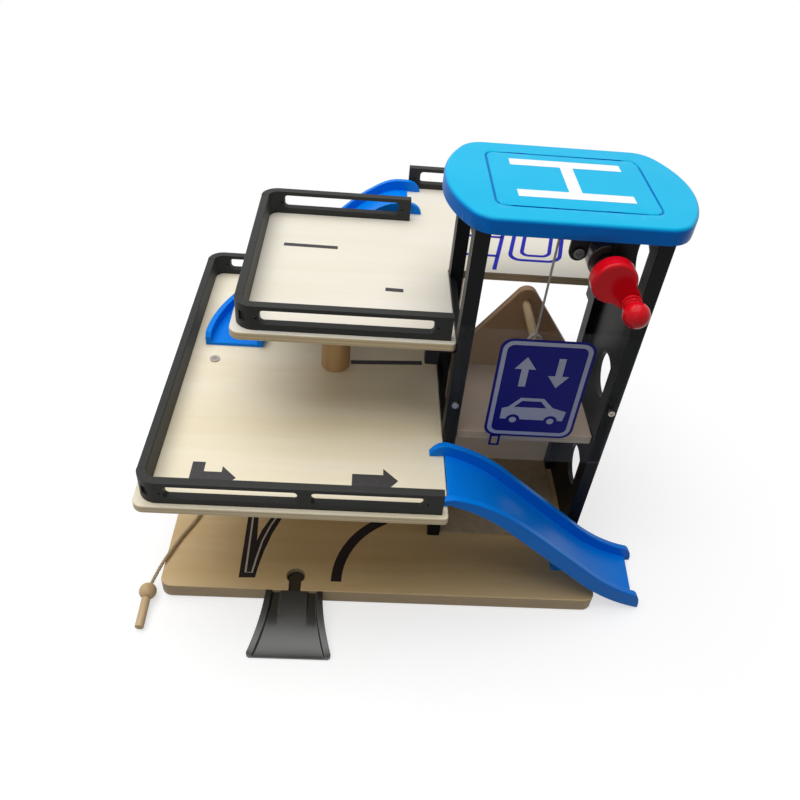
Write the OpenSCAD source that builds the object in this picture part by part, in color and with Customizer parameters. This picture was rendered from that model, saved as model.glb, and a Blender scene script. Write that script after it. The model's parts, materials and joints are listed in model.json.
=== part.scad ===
// Toy garage with two decks, a hand-wound lift, ramps and a slide. Sizes are in millimetres.

/* [Base] */
// Width of the base board
base_w = 310; // [300:1:330]
// Depth of the base board
base_d = 262; // [258:1:280]
// Thickness of the base board
base_t = 12; // [10:0.5:16]
// Corner radius of the base board
base_corner = 8; // [3:0.5:15]
// Distance of the keyhole's centre from the left edge
key_x = 94; // [90:1:110]
// Radius of the keyhole's round end
key_r = 6.5; // [5:0.1:8]
// Width of the keyhole's neck
key_neck = 8.4; // [6:0.1:9]
// Distance of the keyhole's centre from the front edge
key_y = 12.5; // [11:0.5:16]

/* [Decks] */
// Thickness of both decks
deck_t = 6; // [5:0.5:8]
// Height of the lower deck's top face
lower_z = 116; // [112:0.5:120]
// Height of the upper deck's top face
upper_z = 193; // [190:0.5:197]
// Overhang of the lower deck in front of the base
lower_over = 17.5; // [10:0.5:20]
// Depth position of the lower deck's back edge
lower_back = 249.5; // [246:0.5:255]
// Left edge of the lower deck
lower_left = 0; // [0:0.5:3]
// Left edge of the upper deck
upper_left = 51; // [48:0.5:56]
// Front edge of the upper deck
upper_front = 56; // [50:0.5:62]
// Back edge of the upper deck's main part
upper_back = 215; // [210:0.5:215]
// Width that the upper deck's rear part shares with its main part
rear_join = 27; // [20:1:34]
// Back edge of the rear part of the upper deck
rear_back = 271; // [268:1:276]
// Corner radius of the decks
deck_corner = 7; // [5:0.5:10]
// Radius of the rounded board edges
board_edge = 1; // [0.5:0.25:2]
// Radius of the decks' small corners
deck_corner_small = 3; // [2.5:0.5:5]
// Diameter of the wooden posts
post_d = 21; // [16:0.5:24]

/* [Rails] */
// Height of the rails above the deck
rail_h = 17.2; // [14:0.2:22]
// Width of the rails
rail_w = 5.5; // [4:0.5:7]
// Inset of the rails from the deck's edge
rail_in = 3; // [2:0.5:4]
// Outer radius of the rails' corners
rail_corner = 12; // [10:0.5:13]
// Height of a rail's bottom bar
rail_bar_low = 4.5; // [3:0.5:6]
// Height of a rail's top bar
rail_bar_top = 2.8; // [2:0.2:5]

/* [Tower] */
// Distance of the tower from the base's right edge
tower_margin = 8; // [7:0.5:9]
// Overall width of the tower
tower_w = 112; // [108:0.5:116]
// Front face of the tower's posts
tower_front = 54; // [52:0.5:56]
// Depth of the side panels
tower_d = 88; // [86:0.5:88]
// Width of the posts, seen from the front
panel_t = 9; // [8:0.2:10]
// Depth of the posts
post_depth = 12; // [10:0.5:12]
// Thickness of the panel's web
web_t = 4; // [3:0.2:5]
// Radius of the round holes in the right panel
hole_r = 15.8; // [10:0.2:18]
// Height of the lowest round hole
hole_z = 63; // [60:0.5:68]
// Distance of the top round hole's centre below the landing pad's top face
hole_top_drop = 42.2; // [40:0.2:46]
// Depth position of the round holes
hole_y = 87; // [86:0.5:100]
// Thickness of the clear pane
pane_t = 2; // [1.5:0.1:3]
// Bottom of the clear pane
pane_low = 100; // [95:1:110]
// Top of the clear pane
pane_high = 208; // [190:1:212]
// Height of the pane's screws
pane_screw_z = 147; // [130:1:160]
// Thickness of the shaft floor
shaft_floor_t = 2; // [1:0.2:4]
// Thickness of the back wall
back_wall_t = 4; // [3:0.2:5]

/* [Helipad] */
// Width of the landing pad
pad_w = 148; // [144:1:150]
// Depth of the landing pad
pad_d = 102; // [99:1:105]
// Height of the landing pad's top face
pad_z = 282; // [280:0.5:286]
// Height of the pad's skirt
pad_h = 10; // [7:0.5:12]
// Wall thickness of the landing pad
pad_wall = 3; // [2:0.2:3.5]
// Overhang of the landing pad in front of the posts
pad_over = 4; // [4:0.5:8]
// Distance of the groove from the pad's left and right edges
groove_in_x = 26; // [24:0.5:32]
// Distance of the groove from the pad's front and back edges
groove_in_y = 15; // [12:0.5:18]
// Width of the groove in the landing pad
groove_w = 1.5; // [1:0.1:2]
// Radius of the landing pad's rounded top edge
pad_edge = 2.5; // [1:0.25:2.75]
// Radius of the landing pad's bowed ends
pad_end_r = 80; // [70:1:100]
// Distance of the landing pad's middle from the tower's middle
pad_off = 2.5; // [0:0.5:4]

/* [Winch and lift] */
// Distance of the winch axle from the tower's middle
axle_off = 22; // [20:0.5:24]
// Distance of the winch axle below the landing pad's top face
axle_drop = 28; // [26:0.5:29]
// Radius of the winch axle
axle_r = 3; // [2.5:0.1:4]
// Radius of the winch drum
drum_r = 10.5; // [9:0.1:11]
// Radius of the crank's hub
hub_r = 12.8; // [11:0.2:14]
// Distance of the knob from the axle
crank_r = 15; // [13:0.5:18]
// Angle of the crank below the horizontal at rest
crank_angle = 42; // [0:1:80]
// Radius of the knob's ball
knob_r = 7.5; // [6:0.1:8]
// Radius of the lift cord
cord_r = 0.6; // [0.4:0.05:0.8]
// Height of the lift floor's top face at rest
lift_z = 120; // [117:0.5:123]
// Thickness of the lift floor
lift_t = 7; // [5:0.5:8]
// Height of the gable above the lift floor
gable_h = 68; // [60:0.5:69]
// Height of the gable's sides above the lift floor
gable_side = 9; // [4:0.5:20]
// Thickness of the gable
gable_t = 6; // [4:0.5:8]
// Radius of the gable's peak
gable_peak_r = 8; // [4:0.5:10]
// Radius of the lift's dowel
dowel_r = 3; // [2:0.1:3.2]
// Depth of the dowel's axis under the gable's peak
dowel_drop = 11; // [10:0.5:14]
// Running gap between the lift floor and the panels
lift_gap = 0.7; // [0.4:0.1:1.5]

/* [Slide and ramps] */
// Turn of the slide to the back, in degrees
slide_turn = 4; // [0:0.5:5]
// Reach of the slide's foot beyond the base's right edge
slide_reach = 35; // [32:1:40]
// Overall width of the slide
slide_w = 43; // [38:1:46]
// Height of the slide's walls
slide_wall_h = 10; // [6:0.5:12]
// Thickness of the slide's floor
slide_t = 3; // [2:0.5:4]
// Width of the curved ramp
curve_w = 42; // [36:1:42]
// Distance of the curved ramp's foot from the base's left edge
curve_left = 37.5; // [36:0.5:39]
// Length of the curved ramp's straight part
curve_straight = 26; // [23:1:29]
// Height of the curved ramp's walls
curve_wall_h = 7.5; // [6:0.5:9]
// Gap between the curved ramp and the upper deck's back edge
curve_gap = 5; // [3:0.5:6]
// Length of the track ramp
track_len = 46; // [35:1:60]
// Width of the track ramp at the base
track_w = 40; // [36:0.5:44]
// Width of the track ramp at its foot
track_foot_w = 58; // [44:0.5:64]

/* [Hose] */
// Radius of the hose cord
hose_r = 1.3; // [1:0.1:1.5]
// Radius of the wooden bead
bead_r = 6; // [5:0.1:7]
// Radius of the nozzle
nozzle_r = 3; // [2.5:0.1:3.5]
// Length of the nozzle outside the bead
nozzle_len = 22; // [15:0.5:26]

/* [Hidden] */
$fn = 96;
// Clearance between plugged or running pieces
plug_gap = 0.3;
run_gap = 0.05;
// Tower
tower_right = base_w - tower_margin;
tower_left = tower_right - tower_w;
tower_mid = tower_left + tower_w / 2;
tower_back = tower_front + tower_d;
inner_left = tower_left + panel_t;
inner_right = tower_right - panel_t;
panel_top = pad_z - pad_wall;
hole_step = (pad_z - hole_top_drop - hole_z) / 2;
clip_h = 12;
clip_out = 14;
screw_r = 1.5;
screw_head_r = 3.2;
pane_head_r = 2.2;
clip_lip = 8;
clip_set = 10;
clip_arm = 2.5;
rail_end = 4;
rail_hole_r = 0.7;
// Decks
lower_front = -lower_over;
lower_right = tower_left;
upper_right = tower_left;
rear_left = tower_left - rear_join;
rear_front = tower_back;
rear_right = tower_right;
pump_x = 26;
post_x = 114;
post_y = 127;
back_post_x = 95;
back_post_y = 230;
rear_post_x = tower_left + 16;
rear_post_y = 235;
hose_z = 40;
// Winch
pad_mid = tower_mid + pad_off;
axle_x = tower_mid + axle_off;
axle_z = pad_z - axle_drop;
wind_y = 86;
groove_r = 2.5;
pin_x = tower_mid + groove_r + cord_r;
pin_z = axle_z + drum_r - groove_r;
cord_top = axle_z + drum_r + cord_r;
wind_start = wind_y + 2 * cord_r + 0.1;
wind_off = drum_r + cord_r + 0.15;
wind_loops = 5;
wind_pitch = 2 * cord_r + 0.5;
wind_rings = 24;
wind_sides = 6;
hub_front = tower_front - 18;
hub_t = 9;
axle_back = 116;
knob_dx = crank_r * cos(crank_angle);
knob_dz = -crank_r * sin(crank_angle);
// Lift
lift_left = inner_left + lift_gap;
lift_right = inner_right - lift_gap;
lift_w = lift_right - lift_left;
lift_front = tower_front + 3.5;
lift_back = tower_back - back_wall_t - 1.5;
dowel_z = lift_z + gable_h - dowel_drop;
dowel_front = wind_y - 6;
// Slide
slide_x = lower_right + slide_w / 2 * sin(slide_turn) + 0.4;
slide_len = base_w + slide_reach - slide_x;
slide_y = 19;
slide_top = lower_z + 1;
slide_wall_t = 4.5;
slide_tip = 13;
slide_nose = 8;
slide_lap = 3.4;
slide_steps = 36;
slide_leg_u = 94;
// Curved ramp
curve_y = upper_back + curve_gap + curve_w / 2;
curve_r = rear_left - plug_gap - curve_straight - curve_left;
curve_cx = curve_left + curve_r;
curve_cy = curve_y - curve_r;
// The pump's post stands in front of the curved ramp's foot
pump_y = curve_cy - 17;
curve_t = 2.5;
curve_wall_t = 4;
curve_tip = 10;
curve_top = upper_z + 1;
curve_end = lower_z + curve_t;
curve_length = curve_straight + curve_r * PI / 2;
curve_steps = 30;
// Hose route from the pump post over the base to the bead
bead_at = [pump_x - 34, -1, bead_r];
hose_route = [
    [pump_x, 0.944 * pump_y, hose_z],
    [pump_x, 0.848 * pump_y, hose_z - 1],
    [pump_x - 2, 0.736 * pump_y, 28],
    [pump_x - 6, 0.592 * pump_y, 16],
    [pump_x - 11, 0.464 * pump_y, 14],
    [pump_x - 19, 0.32 * pump_y, 14],
    [pump_x - 26, 0.16 * pump_y, 14],
    [pump_x - 31, 0.072 * pump_y, 9],
    bead_at
];
nozzle_turn = 6;
hose_steps = 4;
hose_sides = 8;

// Moves the garage so that the origin is under the middle of the base
module shared() {
    translate([-base_w / 2, -base_d / 2, 0])
        children();
}

// Box between two corners
module box(low, high) {
    translate(low)
        cube(high - low);
}

// Flat outline between two corners; radii go front left, front right, back right, back left
module plate_outline(x0, y0, x1, y1, radii) {
    corners = [[x0, y0, 1, 1], [x1, y0, -1, 1], [x1, y1, -1, -1], [x0, y1, 1, -1]];
    difference() {
        translate([x0, y0])
            square([x1 - x0, y1 - y0]);
        for (i = [0:3])
            if (radii[i] > 0)
                translate([corners[i][0], corners[i][1]])
                    scale([corners[i][2], corners[i][3]])
                        difference() {
                            translate([-1, -1])
                                square(radii[i] + 1);
                            translate([radii[i], radii[i]])
                                circle(radii[i]);
                        }
    }
}

// Round end of a board: a disc whose rim is rounded below and above
module board_disc(x, y, z0, z1, r, low, top) {
    translate([x, y, 0])
        rotate_extrude()
            plate_outline(0, z0, r, z1, [0, low, top, 0]);
}

// Board with its own corner radius on the left and on the right, and rounded edges below and above
module board(x0, y0, x1, y1, z0, z1, left, right, low, top) {
    mid = (x0 + x1) / 2;
    union() {
        translate([x0 + left, 0, 0])
            rotate([90, 0, 90])
                linear_extrude(x1 - right - x0 - left)
                    plate_outline(y0, z0, y1, z1, [low, low, top, top]);
        side_y(y0 + left, y1 - left)
            plate_outline(x0, z0, mid, z1, [low, 0, 0, top]);
        side_y(y0 + right, y1 - right)
            plate_outline(mid, z0, x1, z1, [0, low, top, 0]);
        for (y = [y0 + left, y1 - left])
            board_disc(x0 + left, y, z0, z1, left, low, top);
        for (y = [y0 + right, y1 - right])
            board_disc(x1 - right, y, z0, z1, right, low, top);
    }
}

// Cylinder along Y
module rod_y(x, z, y0, y1, r) {
    translate([x, y0, z])
        rotate([-90, 0, 0])
            cylinder(h = y1 - y0, r = r);
}

// Cylinder along X
module rod_x(y, z, x0, x1, r) {
    translate([x0, y, z])
        rotate([0, 90, 0])
            cylinder(h = x1 - x0, r = r);
}

// Shape drawn in X and Z, extruded along Y
module side_y(y0, y1) {
    translate([0, y1, 0])
        rotate([90, 0, 0])
            linear_extrude(y1 - y0)
                children();
}

// Base and tower

module base_board() {
    color("#dcc59a")
        shared()
            difference() {
                board(0, 0, base_w, base_d, 0, base_t, base_corner, base_corner, board_edge, board_edge);
                translate([key_x, key_y, -1])
                    cylinder(h = base_t + 2, r = key_r);
                box([key_x - key_neck / 2, -1, -1], [key_x + key_neck / 2, key_y, base_t + 1]);
            }
}

module shaft_floor() {
    color("#c9b187")
        shared()
            box([inner_left, tower_front + 2.5, base_t],
                [inner_right, tower_back - back_wall_t, base_t + shaft_floor_t]);
}

module back_wall() {
    color("#d8c094")
        shared()
            box([inner_left, tower_back - back_wall_t, base_t],
                [inner_right, tower_back, lower_z - deck_t]);
}

module panel_posts(x0) {
    box([x0, tower_front, base_t], [x0 + panel_t, tower_front + post_depth, panel_top]);
    box([x0, tower_back - post_depth, base_t], [x0 + panel_t, tower_back, panel_top]);
}

// Room for the landing pad's skirt, cut from the posts
module skirt_room() {
    translate([0, 0, pad_z - pad_h - plug_gap])
        linear_extrude(pad_h + 1)
            difference() {
                translate([tower_left - 10, tower_front - 10])
                    square([tower_w + 20, tower_d + 20]);
                pad_outline(pad_wall + plug_gap / 2);
            }
}

module rear_ledge(x0) {
    box([x0, tower_back, upper_z - deck_t - clip_h], [x0 + panel_t, tower_back + 8, upper_z - deck_t]);
}

// Clip under the upper deck: an arm with a lip that stands off the panel
module hooked_clip(y, z) {
    lip = tower_left - clip_set;
    box([lip - clip_lip, y, z - clip_arm], [tower_left, y + 9, z]);
    box([lip - clip_lip, y, z - clip_h], [lip, y + 9, z]);
}

module panel_left() {
    web_y0 = tower_front + post_depth;
    web_y1 = tower_back - post_depth;
    color("#1d1e20")
        shared()
            difference() {
                union() {
                    panel_posts(tower_left);
                    box([tower_left, web_y0, base_t], [tower_left + web_t, web_y1, panel_top]);
                    rear_ledge(tower_left);
                    for (y = [tower_front + 4, tower_back - 18])
                        box([tower_left - clip_out, y, lower_z - deck_t - clip_h],
                            [tower_left, y + 14, lower_z - deck_t]);
                    for (y = [tower_front + 4, tower_back - 14])
                        hooked_clip(y, upper_z - deck_t);
                }
                box([tower_left - 1, web_y0, base_t + 2], [tower_left + web_t + 1, web_y1, lower_z - 18]);
                box([tower_left - 1, web_y0, lower_z + 2], [tower_left + web_t + 1, web_y1, upper_z - 13]);
                box([tower_left - 1, web_y0, upper_z + 2], [tower_left + web_t + 1, web_y1, panel_top - 16]);
                rod_y(tower_left + panel_t / 2, pane_screw_z, tower_front - 1, tower_front + 9,
                    screw_r + run_gap);
                skirt_room();
            }
}

module panel_right() {
    color("#1d1e20")
        shared()
            difference() {
                union() {
                    panel_posts(inner_right);
                    box([tower_right - web_t, tower_front + post_depth, base_t],
                        [tower_right, tower_back - post_depth, panel_top]);
                    rear_ledge(inner_right);
                }
                for (i = [0:2])
                    rod_x(hole_y, hole_z + i * hole_step, tower_right - web_t - 1, tower_right + 1, hole_r);
                rod_y(inner_right + panel_t / 2, pane_screw_z, tower_front - 1, tower_front + 9,
                    screw_r + run_gap);
                skirt_room();
            }
}

module front_pane() {
    color("#dfe8ee", 0.35)
        shared()
            difference() {
                box([tower_left + 0.5, tower_front - pane_t, pane_low],
                    [tower_right - 0.5, tower_front, pane_high]);
                for (x = [tower_left + panel_t / 2, inner_right + panel_t / 2])
                    rod_y(x, pane_screw_z, tower_front - pane_t - 1, tower_front + 1, screw_r + run_gap);
            }
}

module pane_screw(x) {
    head = tower_front - pane_t;
    difference() {
        union() {
            rod_y(x, pane_screw_z, head - 1, head, pane_head_r);
            rod_y(x, pane_screw_z, head - 0.1, tower_front + 8, screw_r);
        }
        for (turn = [0, 90])
            translate([x, head - 1, pane_screw_z])
                rotate([0, turn, 0])
                    translate([-1.4, -1, -0.3])
                        cube([2.8, 1.6, 0.6]);
    }
}

module pane_screw_left() {
    color("#b9bcc0")
        shared()
            pane_screw(tower_left + panel_t / 2);
}

module pane_screw_right() {
    color("#b9bcc0")
        shared()
            pane_screw(inner_right + panel_t / 2);
}

// Outline of the landing pad: straight in front and behind, bowed at both ends
module pad_outline(inset) {
    x0 = pad_mid - pad_w / 2;
    x1 = pad_mid + pad_w / 2;
    y0 = tower_front - pad_over;
    intersection() {
        translate([x0, y0 + inset])
            square([pad_w, pad_d - 2 * inset]);
        translate([x0 + pad_end_r, y0 + pad_d / 2])
            circle(pad_end_r - inset);
        translate([x1 - pad_end_r, y0 + pad_d / 2])
            circle(pad_end_r - inset);
    }
}

module groove_outline(inset) {
    half = pad_w / 2 - groove_in_x - inset;
    y0 = tower_front - pad_over + groove_in_y + inset;
    y1 = tower_front - pad_over + pad_d - groove_in_y - inset;
    r = 7 - inset;
    plate_outline(pad_mid - half, y0, pad_mid + half, y1, [r, r, r, r]);
}

module pad_body() {
    x0 = pad_mid - pad_w / 2;
    x1 = pad_mid + pad_w / 2;
    y0 = tower_front - pad_over;
    low = pad_z - pad_h;
    intersection() {
        translate([x0 - 1, 0, 0])
            rotate([90, 0, 90])
                linear_extrude(pad_w + 2)
                    plate_outline(y0, low, y0 + pad_d, pad_z, [0, 0, pad_edge, pad_edge]);
        board_disc(x0 + pad_end_r, y0 + pad_d / 2, low, pad_z, pad_end_r, 0, pad_edge);
        board_disc(x1 - pad_end_r, y0 + pad_d / 2, low, pad_z, pad_end_r, 0, pad_edge);
    }
}

module helipad() {
    color("#1d7fd6")
        shared()
            difference() {
                pad_body();
                translate([0, 0, pad_z - pad_h - 1])
                    linear_extrude(pad_h - pad_wall + 1)
                        pad_outline(pad_wall);
                translate([0, 0, pad_z - 0.8])
                    linear_extrude(2)
                        difference() {
                            groove_outline(0);
                            groove_outline(groove_w);
                        }
            }
}

// Winch and cord guide

module hanging_tab(x, z, r, y0, y1, bore) {
    difference() {
        union() {
            rod_y(x, z, y0, y1, r);
            box([x - r, y0, z], [x + r, y1, panel_top]);
        }
        rod_y(x, z, y0 - 1, y1 + 1, bore);
    }
}

module winch_bracket_front() {
    color("#232427")
        shared()
            difference() {
                union() {
                    rod_y(axle_x, axle_z, tower_front + 0.5, tower_front + 4.5, 7);
                    box([axle_x + 1, tower_front + 0.5, axle_z - 4],
                        [axle_x + 13, tower_front + 4.5, panel_top]);
                }
                rod_y(axle_x, axle_z, tower_front, tower_front + 5, axle_r + run_gap);
            }
}

module winch_bracket_back() {
    color("#232427")
        shared()
            hanging_tab(axle_x, axle_z, 7, axle_back - 6, axle_back - 2, axle_r + run_gap);
}

module winch_axle() {
    color("#a9adb2")
        shared()
            rod_y(axle_x, axle_z, hub_front + 3, axle_back, axle_r);
}

module winch_drum() {
    color("#2b2422")
        shared()
            difference() {
                union() {
                    rod_y(axle_x, axle_z, tower_front + 6, axle_back - 8, drum_r);
                    for (y = [wind_y - 3.5, wind_start + wind_pitch * wind_loops + 2])
                        rod_y(axle_x, axle_z, y, y + 1.5, drum_r + 2);
                }
                rod_y(axle_x, axle_z, tower_front, axle_back, axle_r + 0.02);
            }
}

module crank() {
    color("#cf1626")
        shared()
            difference() {
                union() {
                    translate([axle_x, hub_front + hub_t, axle_z])
                        rotate([90, 0, 0])
                            rotate_extrude()
                                union() {
                                    square([hub_r, hub_t - 2]);
                                    square([hub_r - 2, hub_t]);
                                    translate([hub_r - 2, hub_t - 2])
                                        circle(2);
                                }
                    translate([axle_x, 0, axle_z])
                        rotate([0, crank_angle, 0])
                            side_y(hub_front, hub_front + hub_t - 2)
                                union() {
                                    translate([crank_r, 0])
                                        circle(6.5);
                                    polygon([[0, -10], [crank_r, -6.5], [crank_r, 6.5], [0, 10]]);
                                }
                }
                rod_y(axle_x, axle_z, hub_front + 3, hub_front + hub_t + 1, axle_r + 0.02);
            }
}

module crank_knob() {
    color("#d91a2a")
        shared()
            translate([axle_x + knob_dx, hub_front, axle_z + knob_dz])
                rotate([90, 0, 0])
                    rotate_extrude()
                        intersection() {
                            translate([0, 0])
                                square([20, 40]);
                            union() {
                                square([4.6, 13]);
                                translate([0, 1.2])
                                    square([5.8, 1.8]);
                                translate([0, 4.4])
                                    square([5.8, 1.8]);
                                translate([0, 13])
                                    circle(knob_r);
                            }
                        }
}

module guide_bracket_front() {
    color("#232427")
        shared()
            hanging_tab(pin_x, pin_z, 5.2, tower_front + 0.5, tower_front + 3.5, screw_r + run_gap);
}

module guide_bracket_back() {
    color("#232427")
        shared()
            hanging_tab(pin_x, pin_z, 5.2, wind_y + 5, wind_y + 8, screw_r + run_gap);
}

module guide_pin() {
    head = tower_front + 0.5;
    color("#b9bcc0")
        shared()
            difference() {
                union() {
                    rod_y(pin_x, pin_z, head - 1.6, head, screw_head_r);
                    rod_y(pin_x, pin_z, head - 0.1, wind_y + 8, screw_r);
                }
                for (turn = [0, 90])
                    translate([pin_x, head - 1.6, pin_z])
                        rotate([0, turn, 0])
                            translate([-1.8, -1, -0.35])
                                cube([3.6, 1.8, 0.7]);
            }
}

module guide_roller() {
    color("#e8e4da")
        shared()
            difference() {
                union() {
                    rod_y(pin_x, pin_z, wind_y - 3, wind_y + 3, groove_r);
                    rod_y(pin_x, pin_z, wind_y - 4, wind_y - 2, groove_r + 2);
                    rod_y(pin_x, pin_z, wind_y + 2, wind_y + 4, groove_r + 2);
                }
                rod_y(pin_x, pin_z, wind_y - 5, wind_y + 5, screw_r + run_gap);
            }
}

// Lift car and its cord

module lift_floor() {
    color("#d9c197")
        shared()
            box([lift_left, lift_front, lift_z - lift_t], [lift_right, lift_back, lift_z]);
}

module lift_gable() {
    peak = lift_z + gable_h - gable_peak_r;
    half = lift_w / 2;
    rise = peak - lift_z - gable_side;
    slope = atan2(rise, half);
    nx = gable_peak_r * sin(slope);
    nz = gable_peak_r * cos(slope);
    color("#d9c197")
        shared()
            difference() {
                side_y(lift_back - gable_t, lift_back)
                    translate([tower_mid, 0])
                        union() {
                            polygon([
                                [-half, lift_z], [half, lift_z], [half, lift_z + gable_side],
                                [nx, peak + nz], [-nx, peak + nz], [-half, lift_z + gable_side]
                            ]);
                            translate([0, peak])
                                circle(gable_peak_r);
                        }
                rod_y(tower_mid, dowel_z, lift_back - gable_t - 1, lift_back + 1, dowel_r + 0.02);
            }
}

module lift_dowel() {
    color("#e0cba2")
        shared()
            difference() {
                rod_y(tower_mid, dowel_z, dowel_front, lift_back, dowel_r);
                translate([tower_mid, wind_y, dowel_z - dowel_r - 1])
                    cylinder(h = 2 * dowel_r + 2, r = cord_r + 0.2);
            }
}

module lift_knot() {
    color("#cfc8b8")
        shared()
            union() {
                translate([tower_mid, wind_y + 1.6, dowel_z])
                    rotate([90, 0, 0])
                        rotate_extrude()
                            translate([dowel_r + cord_r + 0.05, 0])
                                circle(cord_r, $fn = 24);
                translate([tower_mid, wind_y, dowel_z - dowel_r - 1.3])
                    sphere(1.3, $fn = 32);
                translate([tower_mid, wind_y, dowel_z - dowel_r - 1.3])
                    cylinder(h = 2 * dowel_r + 1.3, r = cord_r, $fn = 24);
            }
}

module lift_cord() {
    color("#cfc8b8")
        shared()
            translate([tower_mid, wind_y, dowel_z + dowel_r])
                cylinder(h = pin_z - dowel_z - dowel_r, r = cord_r, $fn = 24);
}

module cord_span() {
    color("#cfc8b8")
        shared()
            union() {
                rod_x(wind_y, cord_top, pin_x, axle_x, cord_r);
                intersection() {
                    translate([pin_x, wind_y, pin_z])
                        rotate([90, 0, 0])
                            rotate_extrude()
                                translate([groove_r + cord_r, 0])
                                    circle(cord_r);
                    box([pin_x - 10, wind_y - 5, pin_z], [pin_x, wind_y + 5, pin_z + 10]);
                }
            }
}

// One unbroken winding on the drum, from its top towards the back
function wind_point(i) =
    let (turn = 360 * i / wind_rings)
    [
        axle_x + wind_off * sin(turn),
        wind_start + wind_pitch * i / wind_rings,
        axle_z + wind_off * cos(turn)
    ];
function wind_ring(i) =
    let (
        turn = 360 * i / wind_rings,
        out = [sin(turn), 0, cos(turn)],
        side = [0, 1, 0]
    )
    [for (k = [0:wind_sides - 1])
        wind_point(i) + cord_r * (out * cos(360 * k / wind_sides) + side * sin(360 * k / wind_sides))];

module drum_wraps() {
    count = wind_loops * wind_rings;
    points = [for (i = [0:count]) each wind_ring(i)];
    skin = [
        for (i = [0:count - 1]) for (j = [0:wind_sides - 1])
            let (a = i * wind_sides + j, b = i * wind_sides + (j + 1) % wind_sides)
                each [[a, b, b + wind_sides], [a, b + wind_sides, a + wind_sides]]
    ];
    last = count * wind_sides;
    first_cap = [for (k = [1:wind_sides - 2]) [0, k + 1, k]];
    last_cap = [for (k = [1:wind_sides - 2]) [last, last + k, last + k + 1]];
    gap = min([for (i = [0:count - wind_rings])
        norm(wind_point(i) - wind_point(i + wind_rings)) - 2 * cord_r]);
    echo(winding_gap_mm = gap);
    color("#cfc8b8")
        shared()
            polyhedron(points = points, faces = concat(skin, first_cap, last_cap), convexity = 10);
}

// Decks, rails and posts

module lower_deck() {
    color("#dcc59a")
        shared()
            difference() {
                board(lower_left, lower_front, lower_right, lower_back, lower_z - deck_t, lower_z,
                    deck_corner, deck_corner_small, board_edge, board_edge);
                translate([pump_x, pump_y, lower_z - deck_t - 1])
                    cylinder(h = deck_t + 2, r = screw_r + run_gap);
            }
}

module upper_deck() {
    color("#dcc59a")
        shared()
            union() {
                board(upper_left, upper_front, upper_right, upper_back, upper_z - deck_t, upper_z,
                    deck_corner, deck_corner_small, board_edge, board_edge);
                translate([0, 0, upper_z - deck_t])
                    linear_extrude(deck_t)
                        plate_outline(rear_left, rear_front, rear_right, rear_back,
                            [0, deck_corner_small, deck_corner, deck_corner_small]);
            }
}

// Straight rail along X with windows and a small hole near each end; windows are limits along X
module rail_along_x(x0, x1, y0, z0, windows) {
    last = windows[len(windows) - 1];
    difference() {
        box([x0, y0, z0], [x1, y0 + rail_w, z0 + rail_h]);
        for (w = windows)
            side_y(y0 - 1, y0 + rail_w + 1)
                plate_outline(w[0], z0 + rail_bar_low, w[1], z0 + rail_h - rail_bar_top,
                    [2.5, 2.5, 2.5, 2.5]);
        for (x = [(x0 + windows[0][0]) / 2, last[1] + 2.5])
            rod_y(x, z0 + rail_h / 2, y0 - 1, y0 + 2, rail_hole_r);
    }
}

// Quarter of a rail corner with a shallow pocket outside; quadrant turns it about Z
module rail_quarter(x, y, z0, quadrant) {
    translate([x, y, z0])
        rotate([0, 0, quadrant])
            difference() {
                intersection() {
                    difference() {
                        cylinder(h = rail_h, r = rail_corner);
                        translate([0, 0, -1])
                            cylinder(h = rail_h + 2, r = rail_corner - rail_w);
                    }
                    cube([rail_corner + 1, rail_corner + 1, rail_h]);
                }
                rotate([0, 0, 56])
                    translate([rail_corner - 1.8, -2.5, rail_h / 2 - 3.5])
                        cube([4, 5, 7]);
            }
}

lower_rail_x = lower_left + rail_in;
lower_rail_y = lower_front + rail_in;
lower_rail_back = lower_back - rail_in;
lower_rail_mid = (lower_rail_x + rail_corner + lower_right) / 2;
upper_rail_x = upper_left + rail_in;
upper_rail_y = upper_front + rail_in;
upper_rail_back = upper_back - 1;
rear_rail_back = rear_back - 1;
rear_rail_x = rear_right - 1;

module lower_front_rail() {
    x0 = lower_rail_x + rail_corner;
    x1 = lower_right - rail_end;
    color("#34363a")
        shared()
            rail_along_x(x0, x1, lower_rail_y, lower_z,
                [[x0 + 5, lower_rail_mid - 4], [lower_rail_mid + 4, x1 - 12]]);
}

module lower_left_rail() {
    color("#34363a")
        shared()
            box([lower_rail_x, lower_rail_y + rail_corner, lower_z],
                [lower_rail_x + rail_w, lower_rail_back - rail_corner, lower_z + rail_h]);
}

module lower_back_rail() {
    x0 = lower_rail_x + rail_corner;
    x1 = lower_right - rail_end;
    color("#34363a")
        shared()
            rail_along_x(x0, x1, lower_rail_back - rail_w, lower_z,
                [[x0 + 5, lower_rail_mid - 4], [lower_rail_mid + 4, x1 - 12]]);
}

module lower_corner_front() {
    color("#303236")
        shared()
            rail_quarter(lower_rail_x + rail_corner, lower_rail_y + rail_corner, lower_z, 180);
}

module lower_corner_back() {
    color("#303236")
        shared()
            rail_quarter(lower_rail_x + rail_corner, lower_rail_back - rail_corner, lower_z, 90);
}

module upper_front_rail() {
    x0 = upper_rail_x + rail_corner;
    x1 = upper_right - rail_end + 0.5;
    color("#34363a")
        shared()
            rail_along_x(x0, x1, upper_rail_y, upper_z, [[x0 + 4, x1 - 11]]);
}

module upper_left_rail() {
    color("#34363a")
        shared()
            box([upper_rail_x, upper_rail_y + rail_corner, upper_z],
                [upper_rail_x + rail_w, upper_rail_back - rail_corner, upper_z + rail_h]);
}

module upper_back_rail() {
    x0 = upper_rail_x + rail_corner;
    x1 = rear_left + 1;
    color("#34363a")
        shared()
            rail_along_x(x0, x1, upper_rail_back - rail_w, upper_z, [[x0 + 4, x1 - 9]]);
}

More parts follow.
